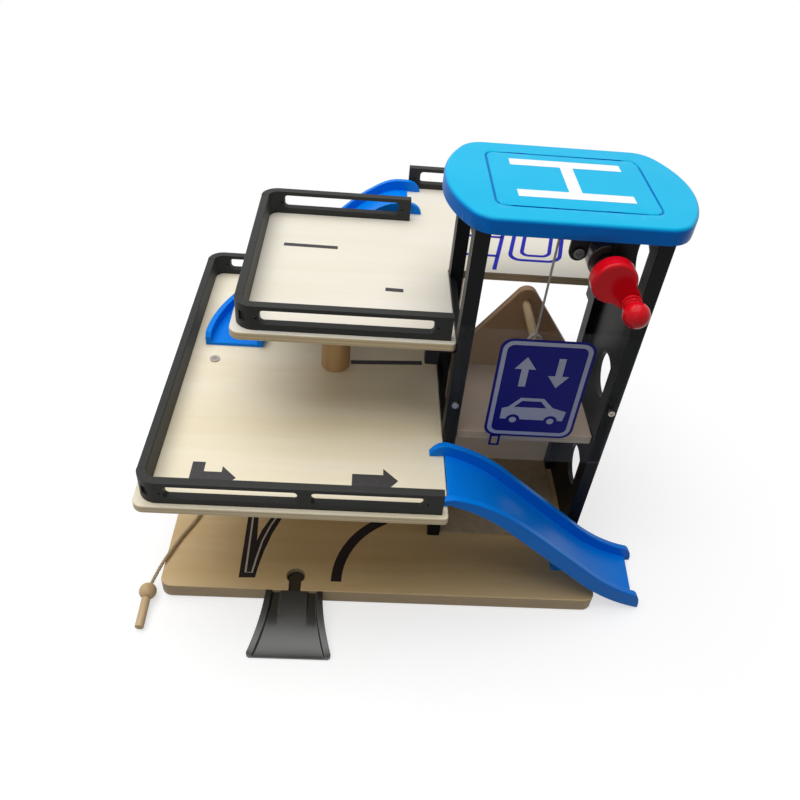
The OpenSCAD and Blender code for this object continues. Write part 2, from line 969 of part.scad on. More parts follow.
module upper_corner_front() {
    color("#303236")
        shared()
            rail_quarter(upper_rail_x + rail_corner, upper_rail_y + rail_corner, upper_z, 180);
}

module upper_corner_back() {
    color("#303236")
        shared()
            rail_quarter(upper_rail_x + rail_corner, upper_rail_back - rail_corner, upper_z, 90);
}

module rear_back_rail() {
    x0 = rear_left + 1;
    x1 = rear_rail_x - rail_corner;
    color("#34363a")
        shared()
            rail_along_x(x0, x1, rear_rail_back - rail_w, upper_z, [[x0 + 9, x1 - 5]]);
}

module rear_right_rail() {
    color("#34363a")
        shared()
            box([rear_rail_x - rail_w, rear_front + 14, upper_z],
                [rear_rail_x, rear_rail_back - rail_corner, upper_z + rail_h]);
}

module rear_corner() {
    color("#303236")
        shared()
            rail_quarter(rear_rail_x - rail_corner, rear_rail_back - rail_corner, upper_z, 0);
}

module wood_post(x, y, z0, z1) {
    translate([x, y, z0])
        cylinder(h = z1 - z0, r = post_d / 2);
}

module pump_post() {
    color("#d2b98c")
        shared()
            difference() {
                wood_post(pump_x, pump_y, base_t, lower_z - deck_t);
                rod_y(pump_x, hose_z, pump_y - post_d, pump_y - 5, hose_r + 0.3);
                translate([pump_x, pump_y, lower_z - deck_t - 12])
                    cylinder(h = 13, r = screw_r + run_gap);
            }
}

module lower_back_post() {
    color("#d2b98c")
        shared()
            wood_post(back_post_x, back_post_y, base_t, lower_z - deck_t);
}

module deck_post() {
    color("#d2b98c")
        shared()
            wood_post(post_x, post_y, lower_z, upper_z - deck_t);
}

module rear_post() {
    color("#d2b98c")
        shared()
            wood_post(rear_post_x, rear_post_y, base_t, upper_z - deck_t);
}

module deck_screw() {
    color("#b9bcc0")
        shared()
            translate([pump_x, pump_y, 0])
                difference() {
                    union() {
                        translate([0, 0, lower_z])
                            cylinder(h = 1, r = 3.6);
                        translate([0, 0, lower_z - deck_t - 11])
                            cylinder(h = deck_t + 11.5, r = screw_r);
                    }
                    for (turn = [0, 90])
                        translate([0, 0, lower_z + 0.5])
                            rotate([0, 0, turn])
                                translate([-2, -0.4, 0])
                                    cube([4, 0.8, 2]);
                }
}

// Slide: an S-shaped profile between two walls

function slide_floor(u) = slide_top - (slide_top - slide_t) / 2 * (1 - cos(180 * max(0, u) / slide_len));

module slide_wall_profile() {
    low = [for (i = [0:slide_steps]) let (u = slide_len * i / slide_steps) [u, slide_floor(u) - slide_t]];
    high = [for (i = [slide_steps:-1:0]) let (u = (slide_len - slide_nose) * i / slide_steps)
        [u, slide_floor(u) + slide_wall_h]];
    nose = [for (a = [18:18:72])
        [slide_len - slide_nose * (1 - cos(a)), (slide_floor(slide_len - slide_nose) + slide_wall_h) * sin(a)]];
    tip = [
        [-5, slide_top + slide_wall_h], [-9, slide_top + slide_wall_h - 3],
        [-slide_tip, slide_top + 2.5], [-slide_tip, lower_z], [0, lower_z]
    ];
    polygon(concat(low, nose, high, tip));
}

module slide_floor_profile() {
    floor_len = slide_len - 4;
    under = slide_t - 0.3;
    low = [for (i = [0:slide_steps]) let (u = floor_len * i / slide_steps) [u, slide_floor(u) - under]];
    high = [for (i = [slide_steps:-1:0]) let (u = floor_len * i / slide_steps) [u, slide_floor(u)]];
    polygon(concat([[-slide_lap, slide_top - under]], low, high, [[-slide_lap, slide_top]]));
}

// Room for the lower deck's edge, in the slide's turned frame
module deck_room() {
    rotate([0, 0, -slide_turn])
        box([-60, -60, 0], [lower_right + plug_gap - slide_x, 60, slide_top + 1]);
}

module slide() {
    color("#1a6fd0")
        shared()
            translate([slide_x, slide_y, 0])
                rotate([0, 0, slide_turn])
                    union() {
                        side_y(-slide_w / 2, -slide_w / 2 + slide_wall_t)
                            slide_wall_profile();
                        side_y(slide_w / 2 - slide_wall_t, slide_w / 2)
                            slide_wall_profile();
                        difference() {
                            side_y(-slide_w / 2 + slide_wall_t / 2, slide_w / 2 - slide_wall_t / 2)
                                slide_floor_profile();
                            deck_room();
                        }
                        side_y(-6, 6)
                            polygon([
                                [slide_leg_u - 4, base_t], [slide_leg_u + 4, base_t],
                                [slide_leg_u + 4, slide_floor(slide_leg_u + 4) - 1],
                                [slide_leg_u - 4, slide_floor(slide_leg_u - 4) - 1]
                            ]);
                    }
}

// Curved ramp: a channel swept along a straight and a quarter turn while it falls

function curve_angle(s) = max(0, s - curve_straight) / curve_r * 180 / PI;
function curve_point(s) =
    s <= curve_straight
        ? [curve_cx + curve_straight - s, curve_y]
        : [curve_cx - curve_r * sin(curve_angle(s)), curve_cy + curve_r * cos(curve_angle(s))];
function curve_side(s) = [-sin(curve_angle(s)), cos(curve_angle(s))];
// Soft step from 0 to 1 between two places along the ramp
function soft_step(s, from, to) = (1 - cos(180 * min(1, max(0, (s - from) / (to - from))))) / 2;
// The ramp leaves the deck steeply and runs out gently above the lower back rail
function curve_z(s) =
    curve_top - (curve_top - curve_end) * (
        0.71 * soft_step(s, 0.033 * curve_length, 0.49 * curve_length)
        + 0.29 * soft_step(s, 0.36 * curve_length, 0.76 * curve_length)
    );
function curve_wall(s) = s > curve_length - 1 ? 0.6 * curve_wall_h : curve_wall_h;

// Eight corners of the channel at one place, from the inner wall to the outer wall
function channel_ring(s) =
    let (
        p = curve_point(s),
        d = curve_side(s),
        z = curve_z(s),
        half = curve_w / 2,
        inner = half - curve_wall_t,
        profile = [
            [-half, -curve_t], [half, -curve_t], [half, curve_wall(s)], [inner, curve_wall(s)],
            [inner, 0], [-inner, 0], [-inner, curve_wall(s)], [-half, curve_wall(s)]
        ]
    )
    [for (q = profile) [p[0] + d[0] * q[0], p[1] + d[1] * q[0], z + q[1]]];

module curved_ramp() {
    turn_length = curve_length - curve_straight;
    stations = concat(
        [for (i = [0:6]) curve_straight * i / 6],
        [for (i = [1:curve_steps - 1]) curve_straight + turn_length * i / curve_steps],
        [curve_length - 2.5, curve_length]
    );
    count = len(stations);
    points = [for (s = stations) each channel_ring(s)];
    skin = [
        for (i = [0:count - 2]) for (j = [0:7])
            let (a = i * 8 + j, b = i * 8 + (j + 1) % 8)
                each [[a, b + 8, a + 8], [a, b, b + 8]]
    ];
    last = (count - 1) * 8;
    last_cap_flat = [[0, 1, 4], [0, 4, 5], [1, 2, 3], [1, 3, 4], [0, 5, 6], [0, 6, 7]];
    first_cap = [for (f = last_cap_flat) [f[2], f[1], f[0]]];
    last_cap = [for (f = last_cap_flat) [last + f[0], last + f[1], last + f[2]]];
    color("#1a6fd0")
        shared()
            union() {
                polyhedron(points = points, faces = concat(skin, first_cap, last_cap), convexity = 8);
                for (side = [-1, 1])
                    translate([0, curve_y + side * (curve_w - curve_wall_t) / 2, 0])
                        side_y(-curve_wall_t / 2 + 0.15, curve_wall_t / 2 - 0.15)
                            ramp_tip();
            }
}

// Rounded end of a ramp wall that rests on the rear deck
module ramp_tip() {
    rise = curve_top + curve_wall_h - 0.1 - upper_z;
    polygon(concat(
        [[rear_left - 4, upper_z]],
        [for (a = [0:10:90]) [rear_left - 1 + (curve_tip + 1) * cos(a), upper_z + rise * sin(a)]],
        [[rear_left - 4, upper_z + rise]]
    ));
}

// Track ramp with a peg for the keyhole

// Half width of the track ramp, flaring towards its foot
function track_half(t) = track_w / 2 + (track_foot_w - track_w) / 2 * pow(t, 1.7);

module track_plan(inset, extra) {
    side = [for (i = [0:5])
        [track_half(i / 5) - inset, -track_len * i / 5 + (i == 0 ? extra : i == 5 ? -extra : 0)]];
    steps = len(side);
    polygon(concat(side, [for (i = [steps - 1:-1:0]) [-side[i][0], side[i][1]]]));
}

// Wedge between the table or a lower slope and an upper slope
module track_wedge(low_back, low_front, high_back, high_front, reach) {
    translate([track_foot_w, 0, 0])
        rotate([90, 0, -90])
            linear_extrude(2 * track_foot_w)
                polygon([
                    [-reach, low_back], [-reach, high_back], [track_len + reach, high_front],
                    [track_len + reach, low_front]
                ]);
}

module track_ramp() {
    color("#222326")
        shared()
            translate([key_x, -plug_gap, 0])
                union() {
                    difference() {
                        intersection() {
                            linear_extrude(30)
                                track_plan(0, 0);
                            track_wedge(0, 0, base_t + 1.5, 3.5, 0);
                        }
                        difference() {
                            intersection() {
                                translate([0, 0, -1])
                                    linear_extrude(40)
                                        track_plan(3, 2);
                                track_wedge(base_t, 2, 40, 40, 2);
                            }
                            for (side = [-1, 1])
                                translate([side * 9 - 1, -track_len - 5, 0])
                                    intersection() {
                                        cube([2, track_len + 10, 40]);
                                        translate([0, track_len + 5, 0])
                                            track_wedge(0, 0, base_t + 1, 3, 2);
                                    }
                        }
                    }
                    box([-key_neck / 2 + plug_gap, -1, 1], [key_neck / 2 - plug_gap, key_y, base_t - 0.5]);
                    translate([0, key_y + plug_gap, 1])
                        cylinder(h = base_t - 1.5, r = key_r - plug_gap);
                }
}

// Fuel hose: a round cord swept along its route

function spline(a, b, c, d, t) =
    0.5 * (2 * b + (c - a) * t + (2 * a - 5 * b + 4 * c - d) * t * t
        + (3 * b - a - 3 * c + d) * t * t * t);
function route_at(i) = hose_route[max(0, min(len(hose_route) - 1, i))];
hose_path = concat(
    [for (i = [0:len(hose_route) - 2]) for (k = [0:hose_steps - 1])
        spline(route_at(i - 1), route_at(i), route_at(i + 1), route_at(i + 2), k / hose_steps)],
    [hose_route[len(hose_route) - 1]]
);
function unit(v) = v / norm(v);
function hose_way(i) = unit(hose_path[min(len(hose_path) - 1, i + 1)] - hose_path[max(0, i - 1)]);
function hose_ring(i) =
    let (
        t = hose_way(i),
        a = unit(cross(t, [1, 0, 0.2])),
        b = cross(t, a)
    )
    [for (k = [0:hose_sides - 1])
        hose_path[i] + hose_r * (a * cos(360 * k / hose_sides) + b * sin(360 * k / hose_sides))];

module fuel_hose() {
    count = len(hose_path);
    points = [for (i = [0:count - 1]) each hose_ring(i)];
    skin = [
        for (i = [0:count - 2]) for (j = [0:hose_sides - 1])
            let (a = i * hose_sides + j, b = i * hose_sides + (j + 1) % hose_sides)
                each [[a, b, b + hose_sides], [a, b + hose_sides, a + hose_sides]]
    ];
    last = (count - 1) * hose_sides;
    caps = [
        [for (k = [hose_sides - 1:-1:0]) k],
        [for (k = [0:hose_sides - 1]) last + k]
    ];
    color("#d9cdb4")
        shared()
            polyhedron(points = points, faces = concat(skin, caps), convexity = 6);
}

// Turns a piece drawn along Z so that it leaves the bead to the front
module along_nozzle() {
    translate(bead_at)
        rotate([90 + nozzle_turn, 0, 0])
            children();
}

bead_flat = sqrt(bead_r * bead_r - nozzle_r * nozzle_r);

module hose_bead() {
    color("#d8b98a")
        shared()
            difference() {
                along_nozzle()
                    sphere(bead_r);
                along_nozzle()
                    translate([-bead_r, -bead_r, bead_flat])
                        cube(2 * bead_r);
                along_nozzle()
                    translate([0, 0, -bead_r - 1])
                        cylinder(h = bead_r + 3, r1 = bead_r - 1.6, r2 = hose_r + 0.6);
            }
}

module hose_nozzle() {
    color("#d8b98a")
        shared()
            along_nozzle()
                translate([0, 0, bead_flat])
                    cylinder(h = nozzle_len, r = nozzle_r);
}

base_board();
shaft_floor();
back_wall();
panel_left();
panel_right();
front_pane();
pane_screw_left();
pane_screw_right();
helipad();
winch_bracket_front();
winch_bracket_back();
winch_axle();
winch_drum();
crank();
crank_knob();
guide_bracket_front();
guide_bracket_back();
guide_pin();
guide_roller();
lift_floor();
lift_gable();
lift_dowel();
lift_knot();
lift_cord();
cord_span();
drum_wraps();
lower_deck();
upper_deck();
lower_front_rail();
lower_left_rail();
lower_back_rail();
lower_corner_front();
lower_corner_back();
upper_front_rail();
upper_left_rail();
upper_back_rail();
upper_corner_front();
upper_corner_back();
rear_back_rail();
rear_right_rail();
rear_corner();
pump_post();
lower_back_post();
deck_post();
rear_post();
deck_screw();
curved_ramp();
slide();
track_ramp();
fuel_hose();
hose_bead();
hose_nozzle();
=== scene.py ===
# %% [markdown]
# # A toy parking garage
# Two birch decks stand on a birch base. A black tower at the right holds a lift that a red crank
# winds up on a cord, and a blue landing pad closes the tower. A slide and a curved ramp lead down
# from the decks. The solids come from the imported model. This script gives them their finished edges
# and materials, draws three of them closer to the photo, twists the cords and adds the prints.
# All sizes are in millimetres in the text and in metres in Blender.

# %% Load the frame
import json
import math
import bmesh
import bpy
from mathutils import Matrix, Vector
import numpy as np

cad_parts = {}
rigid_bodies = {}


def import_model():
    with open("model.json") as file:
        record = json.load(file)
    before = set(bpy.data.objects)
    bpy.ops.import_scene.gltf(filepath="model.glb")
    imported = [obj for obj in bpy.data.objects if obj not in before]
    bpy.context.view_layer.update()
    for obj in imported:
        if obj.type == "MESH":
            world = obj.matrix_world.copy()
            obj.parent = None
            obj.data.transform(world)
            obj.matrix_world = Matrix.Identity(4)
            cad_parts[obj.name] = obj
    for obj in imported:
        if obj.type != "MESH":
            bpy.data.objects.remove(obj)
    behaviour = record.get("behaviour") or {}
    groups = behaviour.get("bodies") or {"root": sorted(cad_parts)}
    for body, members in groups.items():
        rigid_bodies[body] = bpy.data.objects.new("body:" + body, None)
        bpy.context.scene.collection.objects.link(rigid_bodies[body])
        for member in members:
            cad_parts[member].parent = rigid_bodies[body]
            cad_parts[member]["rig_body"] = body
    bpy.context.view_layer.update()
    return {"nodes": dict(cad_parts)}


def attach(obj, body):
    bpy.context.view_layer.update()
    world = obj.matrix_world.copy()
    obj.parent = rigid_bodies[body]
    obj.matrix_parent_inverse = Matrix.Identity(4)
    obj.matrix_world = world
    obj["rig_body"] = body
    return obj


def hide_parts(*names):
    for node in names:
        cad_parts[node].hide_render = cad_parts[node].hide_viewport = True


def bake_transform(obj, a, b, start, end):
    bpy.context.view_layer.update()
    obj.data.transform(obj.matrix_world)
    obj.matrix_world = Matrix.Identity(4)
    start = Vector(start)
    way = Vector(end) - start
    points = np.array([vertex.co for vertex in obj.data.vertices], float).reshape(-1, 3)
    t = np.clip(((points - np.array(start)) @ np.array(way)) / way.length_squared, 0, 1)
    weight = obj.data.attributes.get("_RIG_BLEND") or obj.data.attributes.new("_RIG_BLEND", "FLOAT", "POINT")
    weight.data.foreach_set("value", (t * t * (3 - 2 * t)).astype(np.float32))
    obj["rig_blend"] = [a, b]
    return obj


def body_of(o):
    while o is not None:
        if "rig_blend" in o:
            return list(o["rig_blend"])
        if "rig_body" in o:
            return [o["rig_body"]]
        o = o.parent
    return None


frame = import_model()
MM = 0.001
BASE_WIDTH = 310
BASE_DEPTH = 262
BASE_TOP, LOWER_TOP, UPPER_TOP, PAD_TOP = 12, 116, 193, 282


def at(x, y, z):
    """Point in metres for millimetres measured from the base's front left corner."""
    return Vector(((x - BASE_WIDTH / 2) * MM, (y - BASE_DEPTH / 2) * MM, z * MM))


# %% [markdown]
# ## Camera
# The photograph was taken close to the toy and well above it, with the camera a little tilted.
# A camera can be aimed by eye, but here its place and its three angles were worked out from straight
# edges of the base, the decks and the rails, so that the perspective is the same.

# %% Camera
CAMERA_PLACE = (-0.02557, -0.44772, 0.47089)
CAMERA_ANGLES = (48.830, -4.457, -0.620)
CAMERA_LENS = 34.345
camera_data = bpy.data.cameras.new("photo_camera")
camera_data.sensor_width = 36.0
camera_data.lens = CAMERA_LENS
camera_data.clip_start = 0.01
camera = bpy.data.objects.new("photo_camera", camera_data)
camera.location = CAMERA_PLACE
camera.rotation_euler = [math.radians(angle) for angle in CAMERA_ANGLES]
bpy.context.scene.collection.objects.link(camera)
bpy.context.scene.camera = camera
bpy.context.scene.view_settings.view_transform = "Standard"
print("camera lens", CAMERA_LENS)

# %% [markdown]
# ## Colours, nodes and pieces
# Screens show sRGB, while shaders work in linear light, so one function turns a hex colour into the
# linear values. A second one adds a node and fills its sockets: a value is set and a socket is
# linked. Four short ones use it for the steps that most materials share. The last one makes a mesh
# piece, hangs it on its moving body and gives it its material.


# %% Small helpers
def linear(hex_colour):
    """Linear colour with full alpha for an sRGB hex colour."""
    parts = [int(hex_colour[i:i + 2], 16) / 255 for i in (1, 3, 5)]
    return [c / 12.92 if c <= 0.04045 else ((c + 0.055) / 1.055) ** 2.4 for c in parts] + [1.0]


def put(tree, kind, inputs=None, **settings):
    """Adds a node, sets its settings and fills its inputs with values or links."""
    made = tree.nodes.new(kind)
    for name, value in settings.items():
        setattr(made, name, value)
    for key, value in (inputs or {}).items():
        if isinstance(value, bpy.types.NodeSocket):
            tree.links.new(value, made.inputs[key])
        else:
            made.inputs[key].default_value = value
    return made


def mixed(tree, share, first, second):
    """Colour between two colours, as a socket."""
    return put(tree, "ShaderNodeMix", {0: share, 6: first, 7: second}, data_type="RGBA").outputs[2]


def noise(tree, size_mm, detail, roughness=0.5):
    """Noise of one size that is fixed to the object, as a socket."""
    place = put(tree, "ShaderNodeTexCoord").outputs["Object"]
    grains = put(tree, "ShaderNodeTexNoise", {
        "Vector": place, "Scale": 1 / (size_mm * MM), "Detail": detail, "Roughness": roughness})
    return grains.outputs["Fac"]


def ranged(tree, value, start, end, low=0.0, high=1.0):
    """Moves a value from one range into another, as a socket."""
    return put(tree, "ShaderNodeMapRange", {
        "Value": value, "From Min": start, "From Max": end, "To Min": low, "To Max": high}).outputs["Result"]


def calc(tree, operation, first, second=0.0):
    """One step of arithmetic, as a socket."""
    return put(tree, "ShaderNodeMath", {0: first, 1: second}, operation=operation).outputs[0]


def new_finish(name):
    """An empty material with its tree and its shader."""
    material = bpy.data.materials.new(name)
    material.use_nodes = True
    return material, material.node_tree, material.node_tree.nodes["Principled BSDF"]


def add_piece(name, mesh, material, body, replaced=()):
    """Makes an object of a mesh that is already in place and lets it ride on a body."""
    piece = bpy.data.objects.new(name, mesh)
    bpy.context.scene.collection.objects.link(piece)
    mesh.materials.clear()
    mesh.materials.append(material)
    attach(piece, body)
    if replaced:
        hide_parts(*replaced)
    return piece


print("helpers ready")

# %% [markdown]
# ## Cord
# The fuel hose and the lift's string are twisted cotton cord. Twisted cord is matt, off-white to
# tan, with a darker line between the strands. The strands are real geometry below, so the material
# only carries the fibres: short streaks of colour and a soft bump.


# %% Cord material
def cotton(name, pale, dark, fibre_mm):
    """Matt cotton with streaks about one fibre bundle wide."""
    material, tree, shader = new_finish(name)
    streaks = noise(tree, fibre_mm, 4.0, 0.7)
    tint = mixed(tree, streaks, linear(dark), linear(pale))
    bump = put(tree, "ShaderNodeBump", {"Height": streaks, "Strength": 0.5, "Distance": 0.15 * MM})
    tree.links.new(tint, shader.inputs["Base Color"])
    tree.links.new(bump.outputs["Normal"], shader.inputs["Normal"])
    shader.inputs["Roughness"].default_value = 0.85
    shader.inputs["Sheen Weight"].default_value = 0.25
    return material


HOSE_COTTON = cotton("twisted_cotton_hose", "#d9c6a0", "#9c835c", 0.7)
STRING_COTTON = cotton("twisted_cotton_string", "#ebe6dc", "#c6c0b5", 0.5)
print("cord materials:", HOSE_COTTON.name, STRING_COTTON.name)

# %% [markdown]
# A cord could be a plain tube, but up close one sees its strands. This node tree takes a line,
# makes one copy of it for each strand, moves each copy round the middle like a screw thread and
# gives it a round section. The lay is the length in which a strand goes round once.


# %% Twisted cord tree
STRAND_PLACE, STRAND_SIZE = 0.52, 0.48


def socket(tree, name, kind, default=None):
    """Named input of a node tree."""
    made = tree.interface.new_socket(name, in_out="INPUT", socket_type=kind)
    if default is not None:
        made.default_value = default


def twisted_cord_tree():
    """Node tree that turns a line of edges into a twisted cord."""
    tree = bpy.data.node_groups.new("twisted_cord", "GeometryNodeTree")
    socket(tree, "Geometry", "NodeSocketGeometry")
    socket(tree, "Cord radius", "NodeSocketFloat", 0.6 * MM)
    socket(tree, "Lay", "NodeSocketFloat", 5 * MM)
    socket(tree, "Strands", "NodeSocketInt", 3)
    socket(tree, "Material", "NodeSocketMaterial")
    tree.interface.new_socket("Geometry", in_out="OUTPUT", socket_type="NodeSocketGeometry")
    given = put(tree, "NodeGroupInput").outputs
    line = put(tree, "GeometryNodeMeshToCurve", {"Mesh": given["Geometry"]})
    copies = put(tree, "GeometryNodeDuplicateElements", {
        "Geometry": line.outputs["Curve"], "Amount": given["Strands"]}, domain="SPLINE")
    share = calc(tree, "DIVIDE", copies.outputs["Duplicate Index"], given["Strands"])
    along = put(tree, "GeometryNodeSplineParameter").outputs["Length"]
    turns = calc(tree, "ADD", share, calc(tree, "DIVIDE", along, given["Lay"]))
    angle = calc(tree, "MULTIPLY", turns, math.tau)
    normal = put(tree, "GeometryNodeInputNormal").outputs["Normal"]
    tangent = put(tree, "GeometryNodeInputTangent").outputs["Tangent"]
    turned = put(tree, "ShaderNodeVectorRotate", {
        "Vector": normal, "Axis": tangent, "Angle": angle}, rotation_type="AXIS_ANGLE")
    inset = calc(tree, "MULTIPLY", given["Cord radius"], STRAND_PLACE)
    offset = put(tree, "ShaderNodeVectorMath", {
        0: turned.outputs["Vector"], "Scale": inset}, operation="SCALE")
    moved = put(tree, "GeometryNodeSetPosition", {
        "Geometry": copies.outputs["Geometry"], "Offset": offset.outputs["Vector"]})
    thick = calc(tree, "MULTIPLY", given["Cord radius"], STRAND_SIZE)
    ring = put(tree, "GeometryNodeCurvePrimitiveCircle", {"Resolution": 8, "Radius": thick})
    skin = put(tree, "GeometryNodeCurveToMesh", {
        "Curve": moved.outputs["Geometry"], "Profile Curve": ring.outputs["Curve"], "Fill Caps": True})
    real = put(tree, "GeometryNodeRealizeInstances", {"Geometry": skin.outputs["Mesh"]})
    done = put(tree, "GeometryNodeSetMaterial", {
        "Geometry": real.outputs["Geometry"], "Material": given["Material"]})
    put(tree, "NodeGroupOutput", {"Geometry": done.outputs["Geometry"]})
    return tree


def baked(name, mesh, tree, values):
    """Runs a node tree on a mesh and returns the result as a plain mesh."""
    holder = bpy.data.objects.new(name + "_maker", mesh)
    bpy.context.scene.collection.objects.link(holder)
    modifier = holder.modifiers.new("maker", "NODES")
    modifier.node_group = tree
    names = {item.name: item.identifier for item in tree.interface.items_tree if item.in_out == "INPUT"}
    for key, value in values.items():
        modifier[names[key]] = value
    graph = bpy.context.evaluated_depsgraph_get()
    result = bpy.data.meshes.new_from_object(holder.evaluated_get(graph))
    result.name = name
    bpy.data.objects.remove(holder)
    return result


def line_mesh(name, points):
    """Mesh of edges through points."""
    mesh = bpy.data.meshes.new(name)
    mesh.from_pydata(points, [(i, i + 1) for i in range(len(points) - 1)], [])
    return mesh


def smooth_line(route, spacing):
    """Points on a smooth curve through a route, about one spacing apart."""
    result = []
    for i in range(len(route) - 1):
        before = route[max(i - 1, 0)]
        start, end = route[i], route[i + 1]
        after = route[min(i + 2, len(route) - 1)]
        count = max(2, math.ceil((end - start).length / spacing))
        for k in range(count):
            t = k / count
            result.append(0.5 * (2 * start + (end - before) * t
                                 + (2 * before - 5 * start + 4 * end - after) * t * t
                                 + (3 * start - before - 3 * end + after) * t * t * t))
    result.append(route[-1])
    return result


def length_of(points):
    """Length of a line through points."""
    return sum((b - a).length for a, b in zip(points, points[1:]))


CORD_TREE = twisted_cord_tree()
print("cord tree nodes:", len(CORD_TREE.nodes))

# %% [markdown]
# ## Fuel hose
# The hose leaves a hole in the front left post, hangs down to the base, runs over the base's edge
# and ends on the table in a wooden bead with a round nozzle. Its route repeats that of the solid.

# %% Fuel hose
HOSE_RADIUS = 1.3
HOSE_ROUTE = [
    (26, 118, 40), (26, 106, 39), (24, 92, 28), (20, 74, 16), (15, 58, 14),
    (7, 40, 14), (0, 20, 14), (-5, 9, 9), (-8, -1, 6),
]
hose_path = smooth_line([at(*point) for point in HOSE_ROUTE], 0.8 * MM)
hose_mesh = baked("fuel_hose_cord", line_mesh("hose_line", hose_path), CORD_TREE, {
    "Cord radius": HOSE_RADIUS * MM, "Lay": 7 * MM, "Strands": 3, "Material": HOSE_COTTON})
hose = add_piece("fuel_hose_cord", hose_mesh, HOSE_COTTON, "root", ["fuel_hose"])
print("hose length mm:", round(length_of(hose_path) / MM, 1), "faces:", len(hose_mesh.polygons))

# %% [markdown]
# ## Lift string
# One string carries the lift. It is knotted round the lift's dowel, goes up to a small roller,
# across to the drum and five times round it. Its loose fibres make it a little thicker than its
# solid. Only its hanging part changes length when the lift moves, so that part follows the tower
# at its top and the lift at its foot.

# %% Lift string
STRING_RADIUS = 0.6
STRING_SWELL = 1.45
string_thick = STRING_RADIUS * STRING_SWELL
LIFT_X, STRING_Y = 246, 86
AXLE_X, AXLE_Z, DRUM_RADIUS = 268, 254, 10.5
PIN_X, PIN_Z = 249.1, 262
DOWEL_Z, DOWEL_RADIUS = 177, 3
STRING_LOOK = {
    "Cord radius": string_thick * MM, "Lay": 3.6 * MM, "Strands": 3,
    "Material": STRING_COTTON}


def string_mesh(name, points):
    """Twisted string through points given in millimetres."""
    line = smooth_line([at(*point) for point in points], 0.6 * MM)
    return baked(name, line_mesh(name + "_line", line), CORD_TREE, STRING_LOOK)


def string_piece(name, points, body, replaced):
    """String that rides on one body."""
    add_piece(name, string_mesh(name, points), STRING_COTTON, body, replaced)


def coil(x, z, radius, first_y, pitch, loops):
    """Points on a screw line round an axis that runs to the back."""
    turns = [math.radians(10 * step) for step in range(36 * loops + 1)]
    return [(x + radius * math.sin(a), first_y + pitch * a / math.tau, z + radius * math.cos(a))
            for a in turns]


hanging_x = LIFT_X - 0.4
hanging = [(hanging_x, STRING_Y, z) for z in range(DOWEL_Z + DOWEL_RADIUS, PIN_Z + 1, 2)]
hanging_mesh = string_mesh("lift_string", hanging)
hanging_mesh.materials.clear()
hanging_mesh.materials.append(STRING_COTTON)
lift_string = bpy.data.objects.new("lift_string", hanging_mesh)
bpy.context.scene.collection.objects.link(lift_string)
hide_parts("lift_cord")
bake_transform(lift_string, "root", "lift", start=tuple(at(hanging_x, STRING_Y, PIN_Z)),
         end=tuple(at(hanging_x, STRING_Y, DOWEL_Z + DOWEL_RADIUS)))

LOOPS, PITCH, WIND_START, WIND_GAP = 5, 1.7, 87.3, 0.1
wind_radius = DRUM_RADIUS + string_thick + WIND_GAP
bend = PIN_X - hanging_x
over_roller = [(PIN_X - bend * math.cos(math.radians(a)), STRING_Y, PIN_Z + bend * math.sin(math.radians(a)))
               for a in range(0, 91, 10)]
top = AXLE_Z + wind_radius
across = [(x, STRING_Y, top) for x in range(252, 267, 3)]
string_piece("string_over_roller", over_roller + across + [(AXLE_X, STRING_Y, top)], "root", ["cord_span"])

winding = coil(AXLE_X, AXLE_Z, wind_radius, WIND_START, PITCH, LOOPS)
string_piece("string_on_drum", winding, "winch", ["drum_wraps"])

KNOT_LOOPS, KNOT_PITCH, KNOT_START = 2, 0.65, STRING_Y + 0.8
knot_radius = DOWEL_RADIUS + string_thick + 0.05
knot = coil(LIFT_X, DOWEL_Z, knot_radius, KNOT_START, KNOT_PITCH, KNOT_LOOPS)
string_piece("string_knot", knot, "lift", ["lift_knot"])
print("string pieces: 4, winding loops:", LOOPS)

# %% [markdown]
# ## Wood
# The boards are birch plywood under a thin clear lacquer: pale cream, with a quiet grain along the
# board and thin dark pores. The posts, the bead and the nozzle are turned beech, a little redder,
# with short flecks. Plywood shows its layers on the cut edge, so where a face isn't level the
# material swaps the grain for stripes one layer thick.


# %% Wood materials
PLY = 1.2
ALONG_BOARD, UP_BOARD = (60, 7, 7), (8, 8, 60)
GLUE_LINE = "#a98d62"


def level_part(tree):
    """How level a face lies: the height part of its normal."""
    facing = put(tree, "ShaderNodeNewGeometry").outputs["Normal"]
    return put(tree, "ShaderNodeSeparateXYZ", {0: facing}).outputs["Z"]


